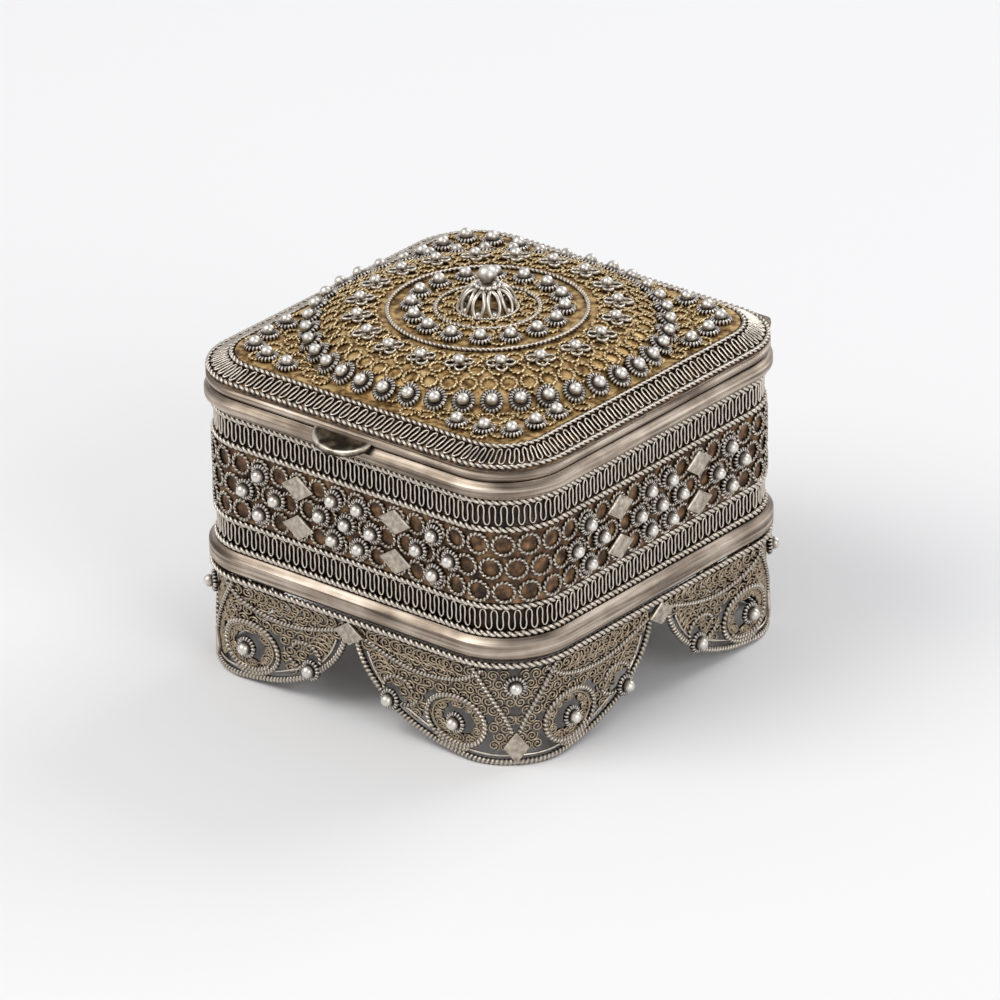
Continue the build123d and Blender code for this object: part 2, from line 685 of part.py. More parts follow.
box_strap_z = TOP_Z - RIM_BEVEL - STRAP_HEIGHT / 2
lid_strap_z = LID_Z + LID_RIM_HEIGHT / 2
finish(knuckles((0, 2, 4), BOX_DEPTH / 2, box_strap_z), "box_knuckles")

with BuildPart() as lid_knuckles:
    add(knuckles((1, 3), LID_HALF_Y - LID_RIM_HEIGHT / 2, lid_strap_z))
    add(lid_rim.part, mode=Mode.SUBTRACT)
finish(lid_knuckles.part, "lid_knuckles")

pin_length = HINGE_LENGTH - KNUCKLE_GAP
with BuildPart() as hinge_pin:
    with BuildSketch(Plane.YZ.offset(-pin_length / 2)):
        with Locations((hinge_y, hinge_z)):
            Circle(PIN_RADIUS)
    extrude(amount=pin_length)
    for end in (-1, 1):
        with BuildSketch(Plane.YZ.offset(end * pin_length / 2)):
            with Locations((hinge_y, hinge_z)):
                Circle(knuckle_radius)
        extrude(amount=end * PIN_HEAD)
finish(hinge_pin.part, "hinge_pin")
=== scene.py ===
"""Looks of the filigree spice box: wirework, coiled rosettes, granules and gilt grounds.

Lengths are millimetres until a mesh is written, and then metres.
"""

import bpy
import numpy as np
from mathutils import Matrix, Vector


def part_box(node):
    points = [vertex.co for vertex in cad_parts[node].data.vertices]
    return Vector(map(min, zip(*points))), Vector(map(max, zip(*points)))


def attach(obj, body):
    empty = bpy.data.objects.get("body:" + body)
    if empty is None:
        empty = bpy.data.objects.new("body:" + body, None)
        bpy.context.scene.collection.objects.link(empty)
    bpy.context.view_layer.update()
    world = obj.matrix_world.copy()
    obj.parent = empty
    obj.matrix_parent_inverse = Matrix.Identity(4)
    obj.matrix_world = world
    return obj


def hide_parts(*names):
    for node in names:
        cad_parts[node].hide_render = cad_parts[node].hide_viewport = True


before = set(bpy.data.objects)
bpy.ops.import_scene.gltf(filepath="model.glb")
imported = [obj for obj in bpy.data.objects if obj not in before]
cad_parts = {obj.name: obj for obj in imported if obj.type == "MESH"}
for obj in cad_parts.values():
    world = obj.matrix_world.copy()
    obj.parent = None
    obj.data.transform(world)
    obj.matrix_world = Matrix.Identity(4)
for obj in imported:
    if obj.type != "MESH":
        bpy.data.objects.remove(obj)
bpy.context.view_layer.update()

MM = 0.001
TAU = 2 * np.pi
UP = np.array([0.0, 0.0, 1.0])


def node_box(name):
    """Lowest and highest corner of a solid, in millimetres."""
    low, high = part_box(name)
    return np.array(low) / MM, np.array(high) / MM


# Sizes read from the solids
base_low, base_high = node_box("base_rim")
panel_low, panel_high = node_box("wall_ring_panel")
skirt_low, skirt_high = node_box("skirt_rope")
lid_low, lid_high = node_box("lid_plate")
cage_low, cage_high = node_box("finial_cage")
tab_low, tab_high = node_box("thumb_tab")
mouth_low, _ = node_box("mouth_rim")
_, liner_high = node_box("wall_liner")
_, lobe_high = node_box("skirt_lobe_front_right")
_, ground_high = node_box("lid_ground")
_, bead_high = node_box("finial_bead")

HALF_X, HALF_Y = base_high[0], base_high[1]
CORNER_RADIUS = 10.5
CORE_X, CORE_Y = HALF_X - CORNER_RADIUS, HALF_Y - CORNER_RADIUS
WALL_INSET = HALF_X - liner_high[0]
PANEL_INSET = HALF_X - panel_high[0]
SKIRT_INSET = HALF_X - lobe_high[0]
LID_INSET = HALF_X - lid_high[0]
WALL_Z, MOUTH_Z = base_high[2], mouth_low[2]
SKIRT_Z = base_low[2]
DOME_Z = lid_low[2]
GROUND_SHEET = ground_high[2] - lid_high[2]
ROPE = skirt_high[2] - skirt_low[2]

# Lid sheet: the sloped border, and the dome as radii and rises
BORDER_WIDTH, BORDER_RISE = 4.1, 1.9
DOME_RADII = np.array([6.0, 15.0, 19.4, 22.4, 25.4])
DOME_RISES = np.array([5.8, 5.6, 5.2, 4.0, 1.9])
SLOPE_STEP = 0.35

# Ropes: samples round the box, length of a twist, and how height and crest share the brightness, which is
# rubbed wear with a painted highlight on the outer strands and crests, and oxide with painted shade lower
# down
ROPE_STEPS = 1900
ROPE_TWIST = 1.9
STRAND_SHARE = 0.27
STRAND_SIDES = 5
WEAR_AND_LIGHT_FLOOR, CREST_WEAR_AND_LIGHT, HEIGHT_WEAR_AND_LIGHT = 0.35, 0.35, 0.4
TUBE_END_TAPER = 0.6

# Serpentine bands and the dark strips under the wirework
SERPENTINE_PITCH, SERPENTINE_PINCH = 1.5, 0.18
SERPENTINE_WIRE, SERPENTINE_LIFT, SERPENTINE_MARGIN = 0.26, 0.28, 0.1
HALF_FLAT = 0.5
BACKING_LIFT, BACKING_SHEET = 0.02, 0.06
BACKING_STEPS = 240

# Rings and rosettes
RING_RADIUS, RING_WIRE, RING_LIFT, RING_STEPS = 1.42, 0.27, 0.22, 14
RING_PITCH, RING_ROW = 3.42, 3.45
CUP_MAJOR, CUP_MINOR, CUP_LIFT, CUP_STEPS = 1.22, 0.4, 0.4, 26
SEAT_RADIUS, SEAT_WIRE, SEAT_LIFT, SEAT_STEPS = 0.75, 0.34, 0.32, 13
GRANULE_RADIUS, GRANULE_LIFT = 0.88, 1.05
# Granules are brighter towards the top and darker underneath: rubbed wear and oxide, with a painted highlight
# on top and painted shade below.
GRANULE_WEAR_AND_LIGHT, GRANULE_TOP_WEAR_AND_LIGHT = 0.55, 0.6

# Clusters of wall rosettes: four at each end of a side and seven in its middle, and lozenges between them
FOUR_OFFSET, FOUR_REACH = 15.2, 2.8
SEVEN_PITCH, CLUSTER_ROW = 4.5, 2.9
LOZENGE_OFFSET = 8.5
SIDE_SHARES = np.array([0.0, 0.25, 0.5, 0.75])

# Lozenge plates: half width, half height, and where the plate begins and ends out from the sheet
WALL_LOZENGE = (2.75, 1.85, 0.3, 0.85)
FOOT_LOZENGE = (1.7, 2.35, -0.1, 0.5)
VALLEY_LOZENGE = (2.5, 1.7, 0.0, 0.7)
PLATE_BEVEL_ACROSS, PLATE_BEVEL_OUT = 0.22, 0.14
# Brightness of the plate's foot, bevel edge and face: the bright bevel is rubbed wear with a painted
# highlight, the dark foot oxide with painted shade where it meets the sheet.
PLATE_WEAR_AND_LIGHT = [0.1, 0.95, 0.62]

# Rings of the lid as radius and count, rope circles, and corner rosettes from the middle
INNER_RING, OUTER_RING, CLOVER_RING = (10.4, 16), (23.8, 40), (17.6, 20)
CIRCLE_RADII = (7.1, 13.6)
CORNER_ROSETTES = np.array([(14.8, 24.6), (18.9, 23.9), (22.4, 22.4), (23.3, 18.5), (23.6, 14.4)])

# Skirt: its sheet, and places seen square to a corner as (across, height)
SKIRT_SHEET = 0.9
SCROLL_CENTRE = (7.5, 5.3)
EDGE_ROSETTE = (15.6, 5.3)
CORNER_ROSETTE_HEIGHT = 11.9
LOBE_EDGE = ((0, 0.5), (3.5, 0.45), (7.0, 0.75), (11.0, 1.7), (14.6, 3.6), (16.9, 5.9), (18.6, 8.4),
             (19.6, 11.0), (20.0, 13.2))
CROSSING_ROUTE = ((5.6, 14.2), (3.4, 10.4), (1.5, 7.2), (0.5, 4.9))
VALLEY_ROUTE = ((19.6, 13.0), (15.4, 11.2), (11.6, 10.6), (7.4, 11.6), (4.2, 14.0))


# Coordinates on the object

def wrap_knots(inset):
    """Distances round the outline where straight sides and corners begin, from the middle of the front."""
    arc = (CORNER_RADIUS - inset) * np.pi / 2
    runs = [CORE_X, arc, 2 * CORE_Y, arc, 2 * CORE_X, arc, 2 * CORE_Y, arc, CORE_X]
    return np.concatenate([[0], np.cumsum(runs)])


def girth(inset):
    """Length of the outline at an inset."""
    return wrap_knots(inset)[-1]


def round_trip(inset, steps):
    """Evenly spaced distances once round the outline at an inset."""
    return girth(inset) * np.arange(steps) / steps


def around(distance, height, out, inset):
    """Point and outward normal on the side of the box: core point plus radius times the turned direction."""
    knots = wrap_knots(inset)
    at = np.mod(distance, knots[-1])
    core_x = np.interp(at, knots, CORE_X * np.array([0, 1, 1, 1, 1, -1, -1, -1, -1, 0]))
    core_y = np.interp(at, knots, CORE_Y * np.array([-1, -1, -1, 1, 1, 1, 1, -1, -1, -1]))
    angle = np.interp(at, knots, np.pi / 2 * np.array([-1, -1, 0, 0, 1, 1, 2, 2, 3, 3]))
    reach = CORNER_RADIUS - inset + out
    normal = np.stack([np.cos(angle), np.sin(angle), np.zeros_like(angle)], -1)
    core = np.stack([core_x, core_y, np.broadcast_to(height, angle.shape)], -1)
    return core + normal * np.broadcast_to(reach, angle.shape)[..., None], normal


def plan_inset(x, y):
    """How far inside the box outline a point of the plan lies."""
    over_x, over_y = np.abs(x) - CORE_X, np.abs(y) - CORE_Y
    corner = np.hypot(np.maximum(over_x, 0), np.maximum(over_y, 0))
    return CORNER_RADIUS - np.where((over_x > 0) & (over_y > 0), corner, np.maximum(over_x, over_y))


def lid_height(x, y):
    """Height of the lid sheet: the sloped border, or the round dome where that is higher."""
    border = BORDER_RISE * np.clip((plan_inset(x, y) - LID_INSET) / BORDER_WIDTH, 0, 1)
    dome = np.interp(np.hypot(x, y), DOME_RADII, DOME_RISES, right=0)
    return DOME_Z + np.maximum(border, dome)


def on_lid(x, y, lift):
    """Point lifted off the lid along its normal, which comes from differences of the height."""
    slope_x = (lid_height(x + SLOPE_STEP, y) - lid_height(x - SLOPE_STEP, y)) / (2 * SLOPE_STEP)
    slope_y = (lid_height(x, y + SLOPE_STEP) - lid_height(x, y - SLOPE_STEP)) / (2 * SLOPE_STEP)
    normal = unit(np.stack([-slope_x, -slope_y, np.ones_like(slope_x)], -1))
    return np.stack([x, y, lid_height(x, y)], -1) + normal * np.broadcast_to(lift, x.shape)[..., None], normal


def side_ring(at, height, radius, lift, steps, inset):
    """Circles on the sides of the box about many centres: centre plus radius times (cos turn, sin turn)."""
    turn = TAU * np.arange(steps) / steps
    return around(at[:, None] + radius * np.cos(turn), height[:, None] + radius * np.sin(turn), lift, inset)


def lid_ring(centres, radius, lift, steps):
    """Circles on the lid about many centres: centre plus radius times (cos turn, sin turn)."""
    turn = TAU * np.arange(steps) / steps
    x, y = centres[:, 0, None], centres[:, 1, None]
    return on_lid(x + radius * np.cos(turn), y + radius * np.sin(turn), lift)


def ring_points(radius, count, offset=0.5):
    """Points evenly spaced on a circle about the middle of the lid."""
    turn = TAU * (np.arange(count) + offset) / count
    return radius * np.stack([np.cos(turn), np.sin(turn)], -1)


# Meshes from whole arrays

def write_mesh(name, points, faces, material, body, wear_and_painted_light=None, uv=None, hides=()):
    """Mesh from points in millimetres and a list of face arrays, each with one number of corners."""
    mesh = bpy.data.meshes.new(name)
    corners = np.concatenate([f.ravel() for f in faces]).astype(np.int32)
    totals = np.concatenate([np.full(len(f), f.shape[1]) for f in faces]).astype(np.int32)
    starts = np.concatenate([[0], np.cumsum(totals)[:-1]]).astype(np.int32)
    mesh.vertices.add(len(points))
    mesh.vertices.foreach_set("co", (np.asarray(points) * MM).astype(np.float32).ravel())
    mesh.loops.add(len(corners))
    mesh.loops.foreach_set("vertex_index", corners)
    mesh.polygons.add(len(totals))
    mesh.polygons.foreach_set("loop_start", starts)
    mesh.polygons.foreach_set("use_smooth", np.ones(len(totals), bool))
    mesh.update(calc_edges=True)
    # Per-point brightness share: rubbed wear and oxide, together with painted highlight and painted shade.
    if wear_and_painted_light is not None:
        shares = mesh.attributes.new("wear_and_painted_light", "FLOAT", "POINT")
        shares.data.foreach_set("value", wear_and_painted_light.astype(np.float32).ravel())
    if uv is not None:
        mesh.uv_layers.new(name="UVMap").data.foreach_set("uv", uv.astype(np.float32).ravel())
    mesh.materials.append(material)
    piece = bpy.data.objects.new(name, mesh)
    bpy.context.scene.collection.objects.link(piece)
    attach(piece, body)
    if hides:
        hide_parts(*hides)
    return piece


def unit(vectors):
    """Vectors scaled to length one."""
    return vectors / np.maximum(np.linalg.norm(vectors, axis=-1, keepdims=True), 1e-9)


def tube(paths, normals, radius, sides=6, closed=True, flatten=1.0):
    """Tubes along many paths at once: point plus radius times (cos turn normal + sin turn side).

    paths and normals are (count, steps, 3). Returns points, faces, a brightness share and uv.
    The brightness share is 1 on the outward crest and 0 on the side facing the sheet: rubbed wear with a
    painted highlight on the crest, oxide with painted shade underneath.
    The first uv value is the length along the wire and the second the turn round it.
    """
    count, steps = paths.shape[:2]
    if closed:
        ahead = np.roll(paths, -1, 1) - np.roll(paths, 1, 1)
    else:
        ahead = np.gradient(paths, axis=1)
    ahead = unit(ahead)
    side = unit(np.cross(ahead, normals))
    crest = np.cross(side, ahead)
    turn = TAU * np.arange(sides) / sides
    size = np.broadcast_to(radius, (count, steps)).copy()
    if not closed:
        size[:, [0, -1]] *= TUBE_END_TAPER
    ring = crest[:, :, None] * np.cos(turn)[:, None] + flatten * side[:, :, None] * np.sin(turn)[:, None]
    points = paths[:, :, None] + ring * size[:, :, None, None]
    wear_and_painted_light = np.broadcast_to(0.5 + 0.5 * np.cos(turn), (count, steps, sides))
    last = steps if closed else steps - 1
    start = (np.arange(count) * steps * sides)[:, None, None]
    here, after = np.arange(last), (np.arange(last) + 1) % steps
    around_now, around_next = np.arange(sides), (np.arange(sides) + 1) % sides
    quads = np.stack(np.broadcast_arrays(
        start + here[None, :, None] * sides + around_now,
        start + here[None, :, None] * sides + around_next,
        start + after[None, :, None] * sides + around_next,
        start + after[None, :, None] * sides + around_now,
    ), -1).reshape(-1, 4)
    runs = np.linalg.norm(np.roll(paths, -1, 1) - paths, axis=2)
    along = np.concatenate([np.zeros((count, 1)), np.cumsum(runs, 1)], 1)
    u_low, u_high = along[:, :last, None], along[:, 1:last + 1, None]
    v_low, v_high = around_now / sides, (around_now + 1) / sides
    flat = [np.stack(np.broadcast_arrays(u, v), -1) for u, v in
            ((u_low, v_low), (u_low, v_high), (u_high, v_high), (u_high, v_low))]
    uv = np.stack(flat, -2).reshape(-1, 2)
    faces = [quads]
    if not closed:
        first_cap = start[:, :, 0] + around_now[::-1]
        last_cap = start[:, :, 0] + (steps - 1) * sides + around_now
        faces.append(np.concatenate([first_cap, last_cap]))
        uv = np.concatenate([uv, np.zeros((2 * count * sides, 2))])
    return points.reshape(-1, 3), faces, wear_and_painted_light.ravel(), uv


def wire(name, paths, normals, radius, material, slot, body, hides=(), **shape):
    """One piece made of tubes along the given paths."""
    paths, normals = (a if a.ndim == 3 else a[None] for a in (paths, normals))
    points, faces, wear_and_painted_light, uv = tube(paths, np.broadcast_to(normals, paths.shape), radius, **shape)
    return write_mesh(name, points, faces, material, body, wear_and_painted_light, uv, hides)


def strands(path, normal, rope_width, twist):
    """Two wires wound about a closed path.

    Each is path plus a quarter of the width times (cos turn normal + sin turn side).
    """
    runs = np.linalg.norm(np.roll(path, -1, 0) - path, axis=1)
    along = np.concatenate([[0], np.cumsum(runs)[:-1]])
    total = runs.sum()
    turns = max(round(total / twist), 1)
    side = unit(np.cross(unit(np.roll(path, -1, 0) - np.roll(path, 1, 0)), normal))
    pair = []
    for phase in (0, np.pi):
        turn = TAU * turns * along / total + phase
        pair.append(path + rope_width / 4 * (normal * np.cos(turn)[:, None] + side * np.sin(turn)[:, None]))
    return np.stack(pair), np.stack([normal, normal])


def rope(name, path, normal, width, hides=(), body="box", twist=ROPE_TWIST):
    """Closed rope of two strands. Its brightness follows the height above the path: rubbed wear with a
    painted highlight where a strand stands out, oxide with painted shade where it dips towards the sheet.
    """
    pair, normals = strands(path, normal, width, twist)
    points, faces, wear_and_painted_light, uv = tube(pair, normals, width * STRAND_SHARE, sides=STRAND_SIDES)
    above = ((pair - path) * normal).sum(-1) / (width / 4)
    lifted = np.repeat(above.reshape(-1), STRAND_SIDES)
    wear_and_painted_light = np.clip(CREST_WEAR_AND_LIGHT * wear_and_painted_light + WEAR_AND_LIGHT_FLOOR + HEIGHT_WEAR_AND_LIGHT * lifted, 0, 1)
    return write_mesh(name, points, faces, wirework, body, wear_and_painted_light, uv, hides)


def closed_strip(name, rows, material, body):
    """Thin closed band from the four corner lines of its section, each once round the outline."""
    points = np.stack(rows, 1).reshape(-1, 3)
    steps = len(rows[0])
    here, after = np.arange(steps)[:, None] * 4, ((np.arange(steps) + 1) % steps)[:, None] * 4
    row, nxt = np.arange(4), (np.arange(4) + 1) % 4
    quads = np.stack(np.broadcast_arrays(here + row, after + row, after + nxt, here + nxt), -1).reshape(-1, 4)
    return write_mesh(name, points, [quads], material, body)


def beads(name, centres, normals, radius, material, slot, body, hides=(), squash=1.0, rings=8, sides=12):
    """Round granules: centre plus radius times the sphere of (ring, side) angles, turned to the normal."""
    off_normal = np.array([0.31, 0.22, 0.93])
    side = unit(np.cross(normals, off_normal))
    other = np.cross(normals, side)
    polar = np.pi * np.arange(1, rings) / rings
    turn = TAU * np.arange(sides) / sides
    ball = np.stack([np.outer(np.sin(polar), np.cos(turn)), np.outer(np.sin(polar), np.sin(turn)),
                     np.outer(np.cos(polar), np.ones(sides))], -1).reshape(-1, 3)
    ball = np.concatenate([ball, [[0, 0, 1], [0, 0, -1]]]) * [1, 1, squash]
    axes = np.stack([side, other, normals], 1)
    points = centres[:, None] + radius * (ball @ axes)
    grid = np.arange((rings - 1) * sides).reshape(rings - 1, sides)
    beside = np.roll(grid, -1, 1)
    quads = np.stack([grid[:-1], grid[1:], beside[1:], beside[:-1]], -1).reshape(-1, 4)
    top, low = (rings - 1) * sides, (rings - 1) * sides + 1
    caps = np.concatenate([
        np.stack([np.full(sides, top), grid[0], beside[0]], -1),
        np.stack([np.full(sides, low), beside[-1], grid[-1]], -1)])
    start = (np.arange(len(centres)) * len(ball))[:, None, None]
    faces = [(start + quads).reshape(-1, 4), (start + caps).reshape(-1, 3)]
    # Brighter towards the top: wear with a painted highlight, and painted shade underneath.
    wear_and_painted_light = np.clip(GRANULE_WEAR_AND_LIGHT + GRANULE_TOP_WEAR_AND_LIGHT * ball[:, 2] / squash, 0, 1)
    wear_and_painted_light = np.broadcast_to(wear_and_painted_light, points.shape[:2])
    return write_mesh(name, points.reshape(-1, 3), faces, material, body, wear_and_painted_light, None, hides)


# Materials

def node_tree(name):
    """New material with its Principled shader."""
    material = bpy.data.materials.new(name)
    material.use_nodes = True
    nodes, links = material.node_tree.nodes, material.node_tree.links
    return material, nodes, links, nodes["Principled BSDF"]


def math_node(nodes, links, operation, first, second=0.0):
    """Math node on two values or sockets, of which a sine reads only the first."""
    node = nodes.new("ShaderNodeMath")
    node.operation = operation
    for socket, value in zip(node.inputs, (first, second)):
        if hasattr(value, "links"):
            links.new(value, socket)
        else:
            socket.default_value = value
    return node.outputs[0]


def mottled(nodes, links, scale, detail=6.0, stretch=(1, 1, 1)):
    """Noise on Object coordinates, scaled per axis, in features per metre."""
    place = nodes.new("ShaderNodeTexCoord")
    mapping = nodes.new("ShaderNodeMapping")
    mapping.inputs["Scale"].default_value = stretch
    links.new(place.outputs["Object"], mapping.inputs["Vector"])
    noise = nodes.new("ShaderNodeTexNoise")
    noise.inputs["Scale"].default_value = scale
    noise.inputs["Detail"].default_value = detail
    links.new(mapping.outputs["Vector"], noise.inputs["Vector"])
    return noise.outputs["Fac"]


def ramp(nodes, links, factor, stops):
    """Colour ramp from (place, colour) stops."""
    node = nodes.new("ShaderNodeValToRGB")
    node.color_ramp.elements.remove(node.color_ramp.elements[1])
    for number, (place, colour) in enumerate(stops):
        element = node.color_ramp.elements[0] if number == 0 else node.color_ramp.elements.new(place)
        element.position = place
        element.color = (*colour, 1)
    links.new(factor, node.inputs["Fac"])
    return node.outputs["Color"]


def bump(nodes, links, shader, height, strength, distance):
    """Bump from a height socket; distance in metres."""
    node = nodes.new("ShaderNodeBump")
    node.inputs["Strength"].default_value = strength
    node.inputs["Distance"].default_value = distance
    links.new(height, node.inputs["Height"])
    links.new(node.outputs["Normal"], shader.inputs["Normal"])


def finish_metal(shader, links, colour, metallic, roughness):
    """Colour socket, metal share and roughness of a Principled shader."""
    links.new(colour, shader.inputs["Base Color"])
    shader.inputs["Metallic"].default_value = metallic
    shader.inputs["Roughness"].default_value = roughness


def worn_metal_with_painted_light(name, dark, mid, bright, roughness, stripe=None, noise_share=0.35, grain=900.0, pitted=False):
    """Oxidised metal, bright where the per-point brightness share is high and dark where it is low: partly
    rubbed wear and oxide, partly painted highlight and painted shade.

    stripe is (length of one rib in mm, turns round the wire per rib, painted shade in the grooves between
    turns) for coiled or twisted wire.
    grain is the number of stains per metre, and pitted roughens the surface with them.
    """
    material, nodes, links, shader = node_tree(name)
    # Brightness share of each point: wear and oxide, with painted highlight and painted shade.
    wear_and_painted_light = nodes.new("ShaderNodeAttribute")
    wear_and_painted_light.attribute_name = "wear_and_painted_light"
    grime = mottled(nodes, links, grain)
    centred = math_node(nodes, links, "SUBTRACT", grime, 0.5)
    shift = math_node(nodes, links, "MULTIPLY", centred, 2 * noise_share)
    level = math_node(nodes, links, "ADD", wear_and_painted_light.outputs["Fac"], shift)
    # Stripes lighten the turns of coiled or twisted wire and darken the grooves between them: painted
    # highlight and painted shade, beside their bump.
    if stripe:
        length, twist, groove_shade = stripe
        uv = nodes.new("ShaderNodeUVMap")
        parts = nodes.new("ShaderNodeSeparateXYZ")
        links.new(uv.outputs["UV"], parts.inputs[0])
        phase = math_node(nodes, links, "ADD",
                          math_node(nodes, links, "MULTIPLY", parts.outputs["X"], TAU / length),
                          math_node(nodes, links, "MULTIPLY", parts.outputs["Y"], TAU * twist))
        wave = math_node(nodes, links, "SINE", phase)
        level = math_node(nodes, links, "ADD", level, math_node(nodes, links, "MULTIPLY", wave, groove_shade))
        bump(nodes, links, shader, wave, strength=0.9, distance=0.00012)
    elif pitted:
        bump(nodes, links, shader, grime, strength=0.6, distance=0.00012)
    colour = ramp(nodes, links, level, ((0.25, dark), (0.58, mid), (0.9, bright)))
    finish_metal(shader, links, colour, 1.0, roughness)
    return material


def brushed_metal(name, dark, mid, bright, roughness):
    """Drawn silver: long streaks along the bands, close together in height, with stains."""
    material, nodes, links, shader = node_tree(name)
    streak = mottled(nodes, links, scale=160.0, detail=8.0, stretch=(0.35, 0.35, 14.0))
    stain = mottled(nodes, links, scale=180.0, detail=5.0)
    streak_share = 0.65
    level = math_node(nodes, links, "ADD", math_node(nodes, links, "MULTIPLY", streak, streak_share),
                      math_node(nodes, links, "MULTIPLY", stain, 1 - streak_share))
    colour = ramp(nodes, links, level, ((0.38, dark), (0.5, mid), (0.62, bright)))
    finish_metal(shader, links, colour, 1.0, roughness)
    bump(nodes, links, shader, streak, strength=0.5, distance=0.00003)
    return material


def patina(name, stops, roughness, metallic, scale):
    """Mottled ground sheet, from dark stain to worn gilding, with scale in features per metre."""
    material, nodes, links, shader = node_tree(name)
    level = mottled(nodes, links, scale, detail=9.0)
    finish_metal(shader, links, ramp(nodes, links, level, stops), metallic, roughness)
    bump(nodes, links, shader, level, strength=0.5, distance=0.0002)
    return material


wirework = worn_metal_with_painted_light(
    "oxidised_wire_with_painted_light", dark=(0.022, 0.015, 0.011), mid=(0.21, 0.165, 0.125), bright=(0.72, 0.655, 0.57),
    roughness=0.38)
twisted = worn_metal_with_painted_light(
    "twisted_ring_wire", dark=(0.022, 0.015, 0.011), mid=(0.21, 0.165, 0.125), bright=(0.66, 0.60, 0.52),
    roughness=0.38, stripe=(0.62, 1, 0.36))
coiled = worn_metal_with_painted_light(
    "coiled_cup_wire", dark=(0.012, 0.009, 0.008), mid=(0.15, 0.125, 0.105), bright=(0.68, 0.63, 0.57),
    roughness=0.36, stripe=(0.42, 0, 0.6))
flat_wire = worn_metal_with_painted_light(
    "serpentine_wire", dark=(0.03, 0.02, 0.014), mid=(0.30, 0.24, 0.18), bright=(0.76, 0.70, 0.61),
    roughness=0.36)
fine_curl = worn_metal_with_painted_light(
    "fine_curl_wire", dark=(0.014, 0.008, 0.005), mid=(0.13, 0.082, 0.045), bright=(0.50, 0.41, 0.30),
    roughness=0.4)
gilt_ring = worn_metal_with_painted_light(
    "gilt_ring_wire", dark=(0.04, 0.022, 0.01), mid=(0.36, 0.23, 0.095), bright=(0.82, 0.66, 0.40),
    roughness=0.38, stripe=(0.62, 1, 0.3), noise_share=0.55)
granule_silver = worn_metal_with_painted_light(
    "granule_silver", dark=(0.07, 0.055, 0.045), mid=(0.46, 0.42, 0.37), bright=(0.80, 0.76, 0.70),
    roughness=0.42, noise_share=0.4, grain=1500.0, pitted=True)
rim_silver = brushed_metal(
    "drawn_rim_silver", dark=(0.13, 0.10, 0.078), mid=(0.35, 0.285, 0.225), bright=(0.60, 0.52, 0.435),
    roughness=0.42)
plate_silver = worn_metal_with_painted_light(
    "lozenge_plate_silver", dark=(0.10, 0.08, 0.06), mid=(0.44, 0.38, 0.31), bright=(0.74, 0.67, 0.57),
    roughness=0.42, noise_share=0.5, grain=1400.0, pitted=True)
tab_silver = worn_metal_with_painted_light(
    "stained_tab_silver", dark=(0.055, 0.045, 0.03), mid=(0.24, 0.205, 0.15), bright=(0.74, 0.67, 0.57),
    roughness=0.4, noise_share=0.75, grain=700.0, pitted=True)
lid_gilt = patina(
    "worn_gilding",
    ((0.28, (0.03, 0.016, 0.008)), (0.42, (0.25, 0.135, 0.045)), (0.56, (0.64, 0.42, 0.17)),
     (0.74, (0.88, 0.69, 0.38))), roughness=0.5, metallic=0.6, scale=900.0)
wall_patina = patina(
    "brown_wall_patina",
    ((0.3, (0.012, 0.008, 0.006)), (0.46, (0.075, 0.038, 0.018)), (0.6, (0.22, 0.115, 0.05)),
     (0.78, (0.42, 0.27, 0.13))), roughness=0.55, metallic=0.4, scale=700.0)
deep_oxide = patina(
    "deep_oxide",
    ((0.35, (0.010, 0.007, 0.006)), (0.6, (0.055, 0.030, 0.018)), (0.8, (0.15, 0.085, 0.045))),
    roughness=0.6, metallic=0.3, scale=420.0)
inner_silver = brushed_metal(
    "inner_sheet_silver", dark=(0.16, 0.13, 0.105), mid=(0.34, 0.29, 0.24), bright=(0.52, 0.46, 0.39),
    roughness=0.45)


def dress(names, material):
    """Give solids that keep their own shape a material."""
    for name in names:
        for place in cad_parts[name].material_slots:
            place.material = material


dress(("mouth_rim", "base_rim", "lid_rim"), rim_silver)
dress(("wall_liner", "floor_plate", "lid_plate", "lid_bezel"), inner_silver)
dress(("box_knuckles", "lid_knuckles", "hinge_pin"), rim_silver)
dress(("wall_ring_panel",), wall_patina)
dress(("lid_ground",), lid_gilt)


# Wall: dark backing, ropes and serpentine bands

backing_at = round_trip(WALL_INSET, BACKING_STEPS)
closed_strip("wall_backing",
             [around(backing_at, level, BACKING_LIFT + extra, WALL_INSET)[0] for level, extra in
              ((WALL_Z, 0), (WALL_Z, BACKING_SHEET), (MOUTH_Z, BACKING_SHEET), (MOUTH_Z, 0))],
             deep_oxide, "box")

for number in range(1, 5):
    rope_low, rope_high = node_box(f"wall_rope_{number}")
    rope_z = (rope_low[2] + rope_high[2]) / 2
    path, normal = around(round_trip(WALL_INSET, ROPE_STEPS), rope_z, ROPE / 2, WALL_INSET)
    rope(f"wall_rope_wire_{number}", path, normal, ROPE, hides=(f"wall_rope_{number}",))

path, normal = around(round_trip(SKIRT_INSET, ROPE_STEPS), SKIRT_Z - ROPE / 2, ROPE / 2, SKIRT_INSET)
rope("skirt_rope_wire", path, normal, ROPE, hides=("skirt_rope",))


def serpentine(length, amplitude, samples=16):
    """Offsets of a snaking wire: share of the way + pinch sin 2t along and amplitude cos t across.

    The pinch swells the bends and narrows the gap between them.
    """
    count = round(length / SERPENTINE_PITCH)
    turn = TAU * np.arange(count * samples) / samples
    share = np.arange(count * samples) / (count * samples)
    return share * length + SERPENTINE_PINCH * np.sin(2 * turn), amplitude * np.cos(turn)


